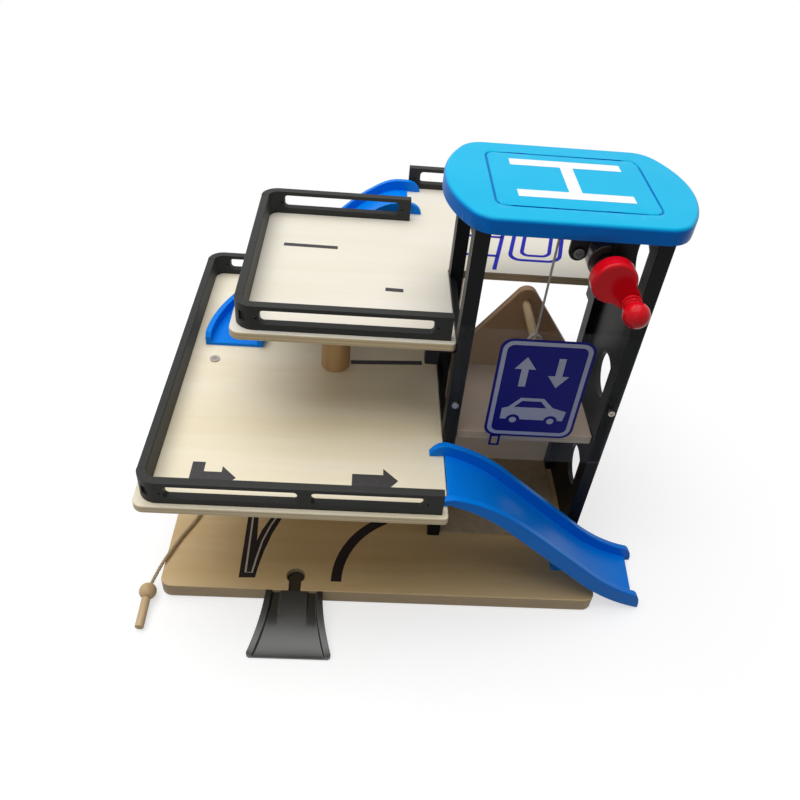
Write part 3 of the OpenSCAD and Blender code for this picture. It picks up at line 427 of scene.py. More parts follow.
def wood(name, pale, dark, grain, ply_mm=None, cut="#e6d4ae"):
    """Lacquered wood.

    grain is the grain's size along X, Y and Z in millimetres, cut the cut edge's colour."""
    material, tree, shader = new_finish(name)
    place = put(tree, "ShaderNodeTexCoord").outputs["Object"]
    stretched = put(tree, "ShaderNodeMapping", {
        "Vector": place, "Scale": [1 / (size * MM) for size in grain]}).outputs["Vector"]
    figure = put(tree, "ShaderNodeTexNoise", {
        "Vector": stretched, "Scale": 0.25, "Detail": 5.0, "Roughness": 0.55, "Distortion": 0.4})
    pores = put(tree, "ShaderNodeTexNoise", {
        "Vector": stretched, "Scale": 2.5, "Detail": 3.0, "Roughness": 0.6})
    colour = mixed(tree, ranged(tree, figure.outputs["Fac"], 0.3, 0.75), linear(pale), linear(dark))
    fleck = ranged(tree, pores.outputs["Fac"], 0.62, 0.8, high=0.35)
    colour = mixed(tree, fleck, colour, linear(dark))
    if ply_mm:
        height = put(tree, "ShaderNodeSeparateXYZ", {0: place}).outputs["Z"]
        layer = calc(tree, "PINGPONG", height, ply_mm * MM)
        band = ranged(tree, layer, 0.35 * ply_mm * MM, 0.65 * ply_mm * MM)
        edge = ranged(tree, calc(tree, "ABSOLUTE", level_part(tree)), 0.75, 0.35)
        colour = mixed(tree, edge, colour, linear(cut))
        stripes = calc(tree, "MULTIPLY", calc(tree, "MULTIPLY", band, edge), 0.35)
        colour = mixed(tree, stripes, colour, linear(GLUE_LINE))
    bump = put(tree, "ShaderNodeBump", {
        "Height": pores.outputs["Fac"], "Strength": 0.25, "Distance": 0.1 * MM})
    sheen = ranged(tree, figure.outputs["Fac"], 0, 1, 0.42, 0.6)
    tree.links.new(colour, shader.inputs["Base Color"])
    tree.links.new(bump.outputs["Normal"], shader.inputs["Normal"])
    tree.links.new(sheen, shader.inputs["Roughness"])
    shader.inputs["IOR"].default_value = 1.48
    return material


BIRCH_BOARD = wood("lacquered_birch_plywood", "#f9f0d9", "#eedfbc", ALONG_BOARD, PLY)
# The upper deck's copy of the birch is paler and less yellow: painted light, as the lamp lights that deck
# most.
BIRCH_PAINTED_LIGHT = wood("lacquered_birch_plywood_painted_light", "#f1ecdf", "#e9e0cb", ALONG_BOARD, PLY, cut="#dcc8a0")
# The base's copy of the birch is darker and warmer: painted shade, for the shade under the decks.
BIRCH_BASE_SHADED = wood("lacquered_birch_plywood_painted_shade", "#e6cb9a", "#d3b17a", ALONG_BOARD, PLY, cut="#bfa884")
BIRCH_UPRIGHT = wood("lacquered_birch_upright", "#f6e8d6", "#e8d4bc", UP_BOARD)
# The gable's copy of the birch is brown: painted shade under the pad.
BIRCH_GABLE_SHADED = wood("lacquered_birch_painted_gable_shade", "#c29d76", "#a6825c", UP_BOARD)
# The lift floor's copy of the birch keeps the wood's rosy tone and is darker: painted shade behind the pane.
BIRCH_LIFT_SHADED = wood("lacquered_rosy_birch_plywood_painted_shade", "#d3bfaa", "#c2aa92", ALONG_BOARD, PLY, cut="#cdbda6")
BEECH_POST = wood("turned_beech_post", "#cba676", "#ab8352", (3, 3, 30))
BEECH_BEAD = wood("turned_beech_bead", "#dcc197", "#b8935f", (2.5, 20, 2.5))
FIBREBOARD = wood("bare_fibreboard", "#b9a68a", "#aa977b", (1.5, 1.5, 1.5))
print("wood materials: 9")

# %% [markdown]
# ## Plastics
# The coloured pieces are moulded ABS. A moulded gloss face is smooth but never perfect: the colour
# drifts a little over centimetres and the gloss breaks up in a very fine orange peel. The pad's top
# is paler in the photo than its upright sides, as the lamp lights the top and leaves the sides in
# half shade, so the sides have a darker colour of their own, which is painted shade. The black tower
# and the grey rails have a satin grain of half a millimetre, and the track ramp is polished.


# %% Plastic materials
def moulded(name, colour, drift, gloss, grain_mm, grain_depth_mm, coat=0.0, upright=None, shine=0.1):
    """Moulded plastic with a slow drift of colour and a fine grain.

    upright, where given, is a darker colour for its upright faces that paints their shade, and shine how much
    it mirrors."""
    material, tree, shader = new_finish(name)
    clouds = noise(tree, 40, 3.0)
    tint = mixed(tree, clouds, linear(colour), linear(drift))
    if upright:
        # Upright faces take the darker colour: painted shade beside the lit top.
        tint = mixed(tree, ranged(tree, level_part(tree), 0.95, 0.25), tint, linear(upright))
    grain = noise(tree, grain_mm, 2.0)
    bump = put(tree, "ShaderNodeBump", {"Height": grain, "Strength": 0.4, "Distance": grain_depth_mm * MM})
    rough = ranged(tree, clouds, 0, 1, gloss - 0.06, gloss + 0.06)
    tree.links.new(tint, shader.inputs["Base Color"])
    tree.links.new(bump.outputs["Normal"], shader.inputs["Normal"])
    tree.links.new(rough, shader.inputs["Roughness"])
    shader.inputs["IOR"].default_value = 1.52
    shader.inputs["Specular IOR Level"].default_value = shine
    shader.inputs["Coat Weight"].default_value = coat
    shader.inputs["Coat Roughness"].default_value = 0.15
    return material


BLUE_ABS = moulded("moulded_blue_abs", "#0086f2", "#007ce8", 0.34, 2.0, 0.02)
# The pad's darker upright colour is painted shade on its sides.
PAD_ABS = moulded("moulded_sky_blue_abs_painted_shade_sides", "#00bde8", "#00b2e2", 0.36, 2.0, 0.02, upright="#0074d6")
RED_ABS = moulded("moulded_red_abs", "#e00a1e", "#d2081a", 0.25, 2.0, 0.02, coat=0.1)
BLACK_ABS = moulded("grained_black_abs", "#0d0e0f", "#131415", 0.4, 0.5, 0.03)
GREY_ABS = moulded("grained_grey_abs", "#333432", "#3b3c3a", 0.48, 0.5, 0.03)
TRACK_ABS = moulded("polished_black_abs", "#1b1d1c", "#202221", 0.2, 0.5, 0.01, shine=0.9)
DRUM_ABS = moulded("moulded_brown_abs", "#584744", "#4a3b39", 0.2, 2.0, 0.02, coat=0.3, shine=0.6)
NYLON = moulded("moulded_nylon", "#ddd8cb", "#cfc9ba", 0.5, 0.8, 0.02)
print("plastic materials: 8")

# %% [markdown]
# ## Steel and clear sheet
# The axle and the screws are zinc-plated steel: grey, with a fine mottle. The cord guide's pin
# is blackened. The pane is clear polystyrene, which shows mostly as reflections, so its alpha makes
# it almost invisible, with faint smears that keep it from vanishing altogether.


# %% Steel and clear sheet
def steel(name, dark, pale):
    """Plated steel with a mottle about 0.4 mm fine."""
    material, tree, shader = new_finish(name)
    marks = noise(tree, 0.4, 3.0)
    tint = mixed(tree, marks, linear(dark), linear(pale))
    rough = ranged(tree, marks, 0, 1, 0.25, 0.45)
    tree.links.new(tint, shader.inputs["Base Color"])
    tree.links.new(rough, shader.inputs["Roughness"])
    shader.inputs["Metallic"].default_value = 1.0
    return material


ZINC_STEEL = steel("zinc_plated_steel", "#8b8680", "#b0aaa2")
BLACK_STEEL = steel("blackened_steel", "#3a3b3c", "#58595a")

CLEAR_SHEET, sheet_tree, sheet_shader = new_finish("clear_polystyrene_sheet")
veil = ranged(sheet_tree, noise(sheet_tree, 30, 4.0), 0, 1, 0.01, 0.04)
sheet_tree.links.new(veil, sheet_shader.inputs["Alpha"])
sheet_shader.inputs["Base Color"].default_value = linear("#e6edf0")
sheet_shader.inputs["Roughness"].default_value = 0.06
sheet_shader.inputs["IOR"].default_value = 1.59
sheet_shader.inputs["Specular IOR Level"].default_value = 0.2
print("steel and sheet ready")

# %% [markdown]
# ## Dressing the solids
# A solid straight from the construction has edges as sharp as a knife, while every moulded or sanded
# edge is a little round and catches the light. One could remodel each piece, but the shapes are
# right already. So a copy of each solid has its triangles merged and its edges rounded by a bevel,
# and the weighted normals keep the flat faces flat. A merged face with several openings can fill
# one of them by mistake. Its area tells: where the area has changed, the triangles are kept.


# %% Dressing helpers
def skin_area(mesh):
    """Area of all triangles of a mesh."""
    mesh.calc_loop_triangles()
    return sum(triangle.area for triangle in mesh.loop_triangles)


def merged_copy(name, source, merge):
    """Copy of a mesh with joined corners and, if asked, merged flat faces."""
    build = bmesh.new()
    build.from_mesh(source)
    bmesh.ops.remove_doubles(build, verts=build.verts, dist=2e-6)
    if merge:
        bmesh.ops.dissolve_limit(build, angle_limit=math.radians(0.8), verts=build.verts, edges=build.edges)
    mesh = bpy.data.meshes.new(name)
    build.to_mesh(mesh)
    build.free()
    return mesh


def round_edges(piece, round_mm, segments):
    """Rounds the edges of a piece and keeps its flat faces flat."""
    bevel = piece.modifiers.new("rounded_edges", "BEVEL")
    bevel.width = round_mm * MM
    bevel.segments = segments
    bevel.limit_method = "ANGLE"
    bevel.angle_limit = math.radians(40)
    bevel.use_clamp_overlap = True
    bevel.miter_outer = "MITER_ARC"
    flat = piece.modifiers.new("flat_faces", "WEIGHTED_NORMAL")
    flat.keep_sharp = True


def dressed(node, material, round_mm, segments=2):
    """Copies a solid, rounds its edges and lets the copy stand for it."""
    source = frame["nodes"][node]
    mesh = merged_copy(node + "_dressed", source.data, True)
    whole = skin_area(source.data)
    if abs(skin_area(mesh) - whole) > 0.001 * whole:
        mesh = merged_copy(node + "_dressed", source.data, False)
        print("triangles kept:", node)
    mesh.shade_smooth()
    mesh.set_sharp_from_angle(angle=math.radians(40))
    piece = add_piece(node + "_dressed", mesh, material, body_of(source)[0], [node])
    round_edges(piece, round_mm, segments)


def dress_all(nodes, material, round_mm, segments=2):
    """Dresses several solids alike."""
    for node in nodes:
        dressed(node, material, round_mm, segments)
    print("dressed:", ", ".join(nodes))


print("dressing helpers ready")

# %% [markdown]
# ## Boards, posts and the lift car
# The boards' edges are already rounded in the solids, so they only get a fine break of the edge.

# %% Wooden pieces
dress_all(["lower_deck"], BIRCH_BOARD, 0.4)
dress_all(["lift_floor"], BIRCH_LIFT_SHADED, 0.4)
dress_all(["base_board"], BIRCH_BASE_SHADED, 0.4)
dress_all(["upper_deck"], BIRCH_PAINTED_LIGHT, 0.4)
dress_all(["back_wall"], BIRCH_UPRIGHT, 0.5)
dress_all(["lift_gable"], BIRCH_GABLE_SHADED, 0.5)
dress_all(["shaft_floor"], FIBREBOARD, 0.2)
dress_all(["pump_post", "lower_back_post", "deck_post", "rear_post"], BEECH_POST, 0.8)
dress_all(["lift_dowel", "hose_bead", "hose_nozzle"], BEECH_BEAD, 0.4)

# %% [markdown]
# ## Tower, rails and brackets
# These are moulded, with small radii on all edges.

# %% Black and grey pieces
dress_all(["panel_left", "panel_right"], BLACK_ABS, 0.7)
dress_all(["winch_bracket_front", "winch_bracket_back", "guide_bracket_front", "guide_bracket_back"],
          BLACK_ABS, 0.4)
dress_all([
    "lower_front_rail", "lower_left_rail", "lower_back_rail", "lower_corner_front",
    "lower_corner_back", "upper_front_rail", "upper_left_rail", "upper_back_rail",
    "upper_corner_front", "upper_corner_back", "rear_back_rail", "rear_right_rail", "rear_corner",
], GREY_ABS, 0.6)

# %% [markdown]
# ## Coloured, clear and steel pieces
# The curved ramp is blue and the crank is red. The landing pad, the slide and the track ramp follow
# in cells of their own, because their forms are drawn closer to the photo.

# %% Coloured, clear and steel pieces
dress_all(["curved_ramp"], BLUE_ABS, 1.0, segments=3)
dress_all(["crank"], RED_ABS, 0.8, segments=3)
dress_all(["crank_knob"], RED_ABS, 0.5)
dress_all(["winch_drum"], DRUM_ABS, 0.4)
dress_all(["guide_roller"], NYLON, 0.3)
dress_all(["front_pane"], CLEAR_SHEET, 0.3)
dress_all(["winch_axle", "deck_screw", "pane_screw_left", "pane_screw_right"], ZINC_STEEL, 0.2)
dress_all(["guide_pin"], BLACK_STEEL, 0.2)

# %% [markdown]
# ## Skins
# Three pieces get a skin of their own form. One function closes a solid through rows of points, and
# one turns the drawn mesh into a piece that stands for the solid.


# %% Skin helpers
def closed_rows(build, rows):
    """Closed solid through rows of points, with a face at each end."""
    rings = [[build.verts.new(point) for point in row] for row in rows]
    for near, far in zip(rings, rings[1:]):
        for i in range(len(near)):
            j = (i + 1) % len(near)
            build.faces.new((near[i], near[j], far[j], far[i]))
    build.faces.new(rings[0])
    build.faces.new(rings[-1][::-1])


def skin_piece(build, node, material, sharp):
    """Drawn skin that stands for a solid. Edges above the sharp angle stay sharp."""
    mesh = bpy.data.meshes.new(node + "_skin")
    build.to_mesh(mesh)
    build.free()
    mesh.shade_smooth()
    mesh.set_sharp_from_angle(angle=math.radians(sharp))
    return add_piece(mesh.name, mesh, material, body_of(frame["nodes"][node])[0], [node])


print("skin helpers ready")

# %% [markdown]
# ## Landing pad
# The pad's long sides meet its bowed ends in a corner. On the moulded pad that corner is rounded.
# A bevel needs free room beside the edge, which the narrow faces of the bow don't leave. So the
# corner is cut into thin wedges round the middle of the rounding, and each point is drawn along its
# wedge until it is as far from the new arc as it was from the old sides.

# %% Landing pad
PAD_LEFT, PAD_RIGHT, PAD_FRONT, PAD_REAR = 174.5, 322.5, 50, 152
PAD_BOW, PAD_CORNER, WEDGES = 80, 18, 7
pad_middle = (PAD_FRONT + PAD_REAR) / 2
half_depth = (PAD_REAR - PAD_FRONT) / 2
corner_out = math.sqrt((PAD_BOW - PAD_CORNER) ** 2 - (half_depth - PAD_CORNER) ** 2)
corner_spread = math.degrees(math.atan2(corner_out, half_depth - PAD_CORNER))


def draw_corner_in(build, side, depth):
    """Rounds one corner. side is -1 for the left, depth is -1 for the front."""
    bow_x = PAD_LEFT + PAD_BOW if side < 0 else PAD_RIGHT - PAD_BOW
    bow = at(bow_x, pad_middle, 0)
    middle = at(bow_x + side * corner_out, pad_middle + depth * (half_depth - PAD_CORNER), 0)
    for k in range(WEDGES + 1):
        angle = math.radians(corner_spread * k / WEDGES)
        across = Vector((depth * math.cos(angle), -side * math.sin(angle), 0))
        geometry = [*build.verts, *build.edges, *build.faces]
        bmesh.ops.bisect_plane(build, geom=geometry, dist=1e-7, plane_co=middle, plane_no=across)
    for vertex in build.verts:
        flat = Vector((vertex.co.x - middle.x, vertex.co.y - middle.y, 0))
        angle = math.degrees(math.atan2(side * flat.x, depth * flat.y))
        to_side = half_depth * MM - depth * (vertex.co.y - bow.y)
        to_bow = PAD_BOW * MM - math.hypot(vertex.co.x - bow.x, vertex.co.y - bow.y)
        reach = PAD_CORNER * MM - min(to_side, to_bow)
        if -0.01 < angle < corner_spread + 0.01 and reach > 0 and flat.length > 0:
            place = middle + flat.normalized() * reach
            vertex.co = (place.x, place.y, vertex.co.z)


pad_build = bmesh.new()
pad_build.from_mesh(frame["nodes"]["helipad"].data)
bmesh.ops.remove_doubles(pad_build, verts=pad_build.verts, dist=2e-6)
for side in (-1, 1):
    for depth in (-1, 1):
        draw_corner_in(pad_build, side, depth)
pad_piece = skin_piece(pad_build, "helipad", PAD_ABS, 40)
pad_flat = pad_piece.modifiers.new("flat_faces", "WEIGHTED_NORMAL")
pad_flat.keep_sharp = True
print("pad corners rounded to", PAD_CORNER, "mm; faces:", len(pad_piece.data.polygons))

# %% [markdown]
# ## Slide
# The slide's solid is a plain S. The moulded slide bends over quickly at the deck, runs almost
# straight and flattens out at its foot, and its walls stand square to the floor, so they look
# higher where it is steep. Its skin is drawn from that fall, in the slide's own turned frame: u runs
# down the slide, v across it to the back.

# %% Slide's fall
SLIDE_PLACE, SLIDE_TURN = (191.9, 19), math.radians(4)
SLIDE_LENGTH, SLIDE_HEAD, SLIDE_FOOT = 156, 117, 4.5
UPPER_BEND, LOWER_BEND = 42, 54
FIRST_FALL, LAST_FALL = 0.33, 0.25
bent_fall = (FIRST_FALL * UPPER_BEND + LAST_FALL * LOWER_BEND) / 2
straight_fall = (SLIDE_HEAD - SLIDE_FOOT - bent_fall) / (SLIDE_LENGTH - (UPPER_BEND + LOWER_BEND) / 2)


def slide_fall(u):
    """Fall of the floor per millimetre."""
    if u < 0 or u > SLIDE_LENGTH:
        return FIRST_FALL if u < 0 else LAST_FALL
    into = min(1, u / UPPER_BEND)
    out = max(0, (u - SLIDE_LENGTH + LOWER_BEND) / LOWER_BEND)
    return FIRST_FALL + (straight_fall - FIRST_FALL) * into - (straight_fall - LAST_FALL) * out


def slide_floor(u):
    """Height of the floor, summed from its fall."""
    if u <= 0:
        return SLIDE_HEAD
    count = max(1, round(u))
    step = u / count
    return SLIDE_HEAD - sum(slide_fall((k + 0.5) * step) * step for k in range(count))


def lean(u):
    """How much longer an upright line is than one square to the floor."""
    return math.sqrt(1 + slide_fall(u) ** 2)


def side_row(outline, v):
    """Points of a side view, placed at a distance across the slide."""
    turn_x, turn_y = math.cos(SLIDE_TURN), math.sin(SLIDE_TURN)
    return [at(SLIDE_PLACE[0] + u * turn_x - v * turn_y, SLIDE_PLACE[1] + u * turn_y + v * turn_x, z)
            for u, z in outline]


print("slide falls", round(straight_fall, 3), "per mm")

# %% [markdown]
# The slide is made of four closed solids: the floor, the two walls and a leg. Each wall ends in a
# round nose at the foot and in a lug that lies on the deck. The front wall begins lower.

# %% Slide's skin
DECK_EDGE, DECK_GAP, TABLE_GAP = 190, 0.3, 0.1
WALL, WALL_HEIGHT, WALL_NOSE = 4.5, 7.7, 8
WALL_FRONT, WALL_BACK = -26, 21.5
FRONT_LENGTH, BACK_LENGTH = 151.5, 159
FRONT_FLOOR, BACK_FLOOR = 146.5, 154
FRONT_DROP, DROP_RUN = 3.4, 60
FLOOR_THICK, FLOOR_LOW, UNDER_GROWS = 2, 0.4, 3.2
LUG_RISE, LUG_REACH = 8.2, 10.5
LEG_START, LEG_END, LEG_WIDTH, LEG_SINK = 90, 98, 12, 1
SLIDE_STEPS = 48


def slide_under(u):
    """Height of a wall's underside, which comes down to the table at the foot."""
    depth = FLOOR_THICK + UNDER_GROWS * max(0, u) / SLIDE_LENGTH
    return max(TABLE_GAP, slide_floor(u) - depth * lean(u))


def wall_outline(length, start_drop):
    """Side view of a wall: underside, round nose, top edge and lug.

    start_drop is how much lower the wall begins at the deck."""
    shares = [k / SLIDE_STEPS for k in range(SLIDE_STEPS + 1)]
    low = [(length * share, slide_under(length * share)) for share in shares]
    high = []
    for u in [(length - WALL_NOSE) * share for share in reversed(shares)]:
        drop = start_drop * max(0, 1 - u / DROP_RUN)
        high.append((u, slide_floor(u) + WALL_HEIGHT * lean(u) - drop))
    tip = high[0][1] - TABLE_GAP
    turn = [math.radians(angle) for angle in (18, 36, 54, 72)]
    nose = [(length - WALL_NOSE + WALL_NOSE * math.cos(a), TABLE_GAP + tip * math.sin(a)) for a in turn]
    deck = LOWER_TOP + TABLE_GAP
    rise = LUG_RISE - start_drop
    lug = [(-5, deck + rise), (-8, deck + 0.7 * rise), (-LUG_REACH, deck + 0.25 * rise),
           (-LUG_REACH, deck), (0, deck)]
    return low + nose + high + lug


def floor_outline(v, length):
    """Side view of the floor from the deck's edge to its end."""
    start = (DECK_EDGE + DECK_GAP - SLIDE_PLACE[0] + v * math.sin(SLIDE_TURN)) / math.cos(SLIDE_TURN)
    places = [start + (length - start) * k / SLIDE_STEPS for k in range(SLIDE_STEPS + 1)]
    low = [(u, max(FLOOR_LOW, slide_floor(u) - FLOOR_THICK * lean(u))) for u in places]
    return low + [(u, slide_floor(u)) for u in reversed(places)]


front_wall, back_wall = wall_outline(FRONT_LENGTH, FRONT_DROP), wall_outline(BACK_LENGTH, 0)
inner_front, inner_back = WALL_FRONT + WALL / 2, WALL_BACK - WALL / 2
front_floor, back_floor = floor_outline(inner_front, FRONT_FLOOR), floor_outline(inner_back, BACK_FLOOR)
leg = [(LEG_START, BASE_TOP), (LEG_END, BASE_TOP),
       (LEG_END, slide_floor(LEG_END) - LEG_SINK), (LEG_START, slide_floor(LEG_START) - LEG_SINK)]
slide_build = bmesh.new()
for near, near_v, far, far_v in (
    (front_wall, WALL_FRONT, front_wall, WALL_FRONT + WALL),
    (back_wall, WALL_BACK - WALL, back_wall, WALL_BACK),
    (front_floor, inner_front, back_floor, inner_back),
    (leg, 0, leg, LEG_WIDTH),
):
    closed_rows(slide_build, [side_row(near, near_v), side_row(far, far_v)])
bmesh.ops.recalc_face_normals(slide_build, faces=slide_build.faces)
slide_piece = skin_piece(slide_build, "slide", BLUE_ABS, 30)
round_edges(slide_piece, 1.2, 3)
print("slide faces:", len(slide_piece.data.polygons))

# %% [markdown]
# ## Track ramp
# The ramp flares towards its foot between two rims. Two wheel grooves start at its back end and run
# out on the floor near the middle. The peg lies deep in the base's keyhole, where it is in shade.

# %% Track ramp
RAMP_X, RAMP_BACK, RAMP_LENGTH = 94, -0.3, 46
RAMP_HALF, RAMP_FLARE, FLARE_BOW = 20, 9, 1.7
FLOOR_BACK, FLOOR_FOOT, FLOOR_BOW = 11.6, 1.2, 1.25
RIM_WIDTH, RIM_HEIGHT, RIM_SLOPE = 4.4, 2.2, 0.8
GROOVE_INNER, GROOVE_SLOPE, GROOVE_DEPTH, GROOVE_SHARE = 9.6, 0.5, 2.2, 0.55
PEG_NECK, PEG_ROUND, PEG_REACH = 3.9, 6.2, 12.5
PEG_LOW, PEG_TOP, PEG_ROOT, PEG_STEPS = 1, 8, -1, 32
RIM_START, RIM_RUN = 0.3, 0.12
FOOT_ROUND = 3
RAMP_STEPS = 48


def ramp_section(share):
    """Points across the ramp at a share of its length, from its right underside to its left one."""
    half = RAMP_HALF + RAMP_FLARE * share ** FLARE_BOW
    floor = FLOOR_FOOT + (FLOOR_BACK - FLOOR_FOOT) * (1 - share) ** FLOOR_BOW
    groove = floor - GROOVE_DEPTH * max(0, 1 - share / GROOVE_SHARE) ** 2
    rim = floor + RIM_HEIGHT * min(1, RIM_START + (1 - RIM_START) * share / RIM_RUN)
    inner = half - RIM_WIDTH
    past = max(0, 1 - (1 - share) * RAMP_LENGTH / FOOT_ROUND)
    outer = half - FOOT_ROUND * (1 - math.sqrt(1 - past ** 2))
    side = [(outer, TABLE_GAP), (outer, rim), (inner, rim), (inner - RIM_SLOPE, groove),
            (GROOVE_INNER + GROOVE_SLOPE, groove), (GROOVE_INNER, floor)]
    across = side + [(-x, z) for x, z in reversed(side)]
    return [at(RAMP_X + x, RAMP_BACK - RAMP_LENGTH * share, z) for x, z in across]


ramp_build = bmesh.new()
closed_rows(ramp_build, [ramp_section(k / RAMP_STEPS) for k in range(RAMP_STEPS + 1)])
neck_angle = math.degrees(math.asin(PEG_NECK / PEG_ROUND))
turns = [math.radians(-90 + neck_angle + (360 - 2 * neck_angle) * k / PEG_STEPS)
         for k in range(PEG_STEPS + 1)]
peg = [(PEG_NECK, PEG_ROOT)] + [(PEG_ROUND * math.cos(a), PEG_REACH + PEG_ROUND * math.sin(a)) for a in turns]
peg.append((-PEG_NECK, PEG_ROOT))
closed_rows(ramp_build, [[at(RAMP_X + x, y, z) for x, y in peg] for z in (PEG_LOW, PEG_TOP)])
bmesh.ops.recalc_face_normals(ramp_build, faces=ramp_build.faces)
ramp_piece = skin_piece(ramp_build, "track_ramp", TRACK_ABS, 30)
round_edges(ramp_piece, 0.6, 3)
print("track ramp faces:", len(ramp_piece.data.polygons))

# %% [markdown]
# ## Printed marks
# The boards carry screen-printed marks: arrows, bay lines, a piece of rail and a road bend. An ink
# film could be a mask in the wood's material, but a thin sheet of its own is easier to draw to size,
# and it keeps its crisp edge from near by. Each mark is a filled outline, 0.1 mm thick.


# %% Ink materials and outlines
def ink(name, colour, worn):
    """Screen-printed ink, thin in places. It also paints the shade in the pad's groove."""
    material, tree, shader = new_finish(name)
    tint = mixed(tree, noise(tree, 3, 4.0), linear(colour), linear(worn))
    tree.links.new(tint, shader.inputs["Base Color"])
    shader.inputs["Roughness"].default_value = 0.5
    shader.inputs["Specular IOR Level"].default_value = 0.15
    return material


DARK_INK = ink("dark_grey_ink", "#3d3b3c", "#4c4a4b")
BROWN_INK = ink("dark_brown_ink", "#241d1b", "#30282a")
PALE_INK = ink("pale_grey_ink", "#cfcabc", "#bdb7a8")
BLUE_INK = ink("deep_blue_ink", "#1014a4", "#1a20ae")
WHITE_INK = ink("white_ink", "#fbfcfc", "#f0f3f4")
NAVY_INK = ink("navy_ink", "#0c0e6c", "#111478")
# The groove colour is no ink: it is painted shade on the floor of the pad's groove.
GROOVE_PAINTED_SHADE = ink("painted_groove_shade", "#0a6cb4", "#0c74bc")
GREY_INK = ink("sign_grey_ink", "#b4b8cc", "#a4a9c0")
INK_FILM, INK_GAP = 0.1, 0.02


def flat_mark(name, outlines, place, material):
    """Fills closed outlines given in millimetres. place turns across, up and out into a point."""
    curve = bpy.data.curves.new(name, "CURVE")
    curve.dimensions = "2D"
    curve.fill_mode = "BOTH"
    curve.extrude = INK_FILM / 2
    for outline in outlines:
        spline = curve.splines.new("POLY")
        spline.points.add(len(outline) - 1)
        for point, (across, up) in zip(spline.points, outline):
            point.co = (across, up, 0, 1)
        spline.use_cyclic_u = True
    holder = bpy.data.objects.new(name + "_maker", curve)
    bpy.context.scene.collection.objects.link(holder)
    graph = bpy.context.evaluated_depsgraph_get()
    mesh = bpy.data.meshes.new_from_object(holder.evaluated_get(graph))
    bpy.data.objects.remove(holder)
    build = bmesh.new()
    build.from_mesh(mesh)
    for vertex in build.verts:
        vertex.co = place(vertex.co.x, vertex.co.y, vertex.co.z + INK_FILM / 2 + INK_GAP)
    bmesh.ops.remove_doubles(build, verts=build.verts, dist=1e-6)
    bmesh.ops.recalc_face_normals(build, faces=build.faces)
    build.to_mesh(mesh)
    build.free()
    mesh.name = name
    add_piece(name, mesh, material, "root")


def on_level(z):
    """Place on a level face at a height."""
    return lambda across, up, out: at(across, up, z + out)


def rounded(x0, y0, x1, y1, radius, steps=6):
    """Closed outline of a rectangle with rounded corners."""
    points = []
    corners = [(x1 - radius, y1 - radius, 0), (x0 + radius, y1 - radius, 90),
               (x0 + radius, y0 + radius, 180), (x1 - radius, y0 + radius, 270)]
    for cx, cy, start in corners:
        for k in range(steps + 1):
            angle = math.radians(start + 90 * k / steps)
            points.append((cx + radius * math.cos(angle), cy + radius * math.sin(angle)))
    return points


def stroke(points, width):
    """Closed outline of a line of one width."""
    left, right = [], []
    for i, (x, y) in enumerate(points):
        ax, ay = points[max(i - 1, 0)]
        bx, by = points[min(i + 1, len(points) - 1)]
        length = math.hypot(bx - ax, by - ay)
        nx, ny = -(by - ay) / length * width / 2, (bx - ax) / length * width / 2
        left.append((x + nx, y + ny))
        right.append((x - nx, y - ny))
    return left + right[::-1]


def arc(cx, cy, radius, start, end, steps=20):
    """Points on an arc, angles in degrees."""
    angles = [math.radians(start + (end - start) * k / steps) for k in range(steps + 1)]
    return [(cx + radius * math.cos(a), cy + radius * math.sin(a)) for a in angles]


print("ink materials: 8")

# %% [markdown]
# ## Marks on the decks and the base
# Arrows show the way along the lower deck, thin lines mark parking bays, and the base carries a
# forked piece of rail and a road bend. The landing pad has the common letter for a helicopter pad,
# and a darker line on the floor of its groove, which paints the shade in the groove.

# %% Deck and base marks
lower, upper, base = on_level(LOWER_TOP), on_level(UPPER_TOP), on_level(BASE_TOP)

straight_arrow = [(130.3, 6), (150, 6), (150, 1), (159.5, 12), (150, 22), (150, 16.5), (130.3, 16.5)]
bent_arrow = [(30, 21), (30, 6), (49, 6), (49, -1), (58.5, 8.5), (49, 18), (49, 13), (38, 13), (38, 21)]
flat_mark("arrow_straight", [straight_arrow], lower, DARK_INK)
flat_mark("arrow_bent", [bent_arrow], lower, DARK_INK)
flat_mark("lower_bay_line", [stroke([(125.3, 130), (178.5, 133.6)], 4.6)], lower, DARK_INK)
flat_mark("upper_bay_lines", [
    stroke([(74, 163), (112, 162.4)], 4),
    stroke([(146, 112.5), (158, 112)], 4),
], upper, DARK_INK)


def slanted(outline, slant=0.235, foot=160):
    """Outline leaning to the right as it goes back."""
    return [(x + slant * (y - foot), y) for x, y in outline]


bay_line = slanted(stroke([(225.7, 146), (225.7, 208)], 3))
ticks = [stroke([(203, 192.6), (233.5, 192.6)], 3), stroke([(200, 165), (226.5, 165)], 3)]
flat_mark("rear_bay_line", [bay_line], upper, BLUE_INK)
for number, tick in enumerate(ticks, 1):
    flat_mark("rear_bay_tick_%d" % number, [tick], upper, BLUE_INK)
outer_bay = [rounded(233, 159.8, 272.4, 236.2, 10), rounded(236, 162.8, 269.4, 233.2, 7.4)]
inner_bay = [rounded(241.1, 166.8, 264.2, 229.2, 7), rounded(244, 169.7, 261.3, 226.3, 4.4)]
flat_mark("rear_bay_outer", [slanted(line) for line in outer_bay], upper, BLUE_INK)
flat_mark("rear_bay_inner", [slanted(line) for line in inner_bay], upper, BLUE_INK)

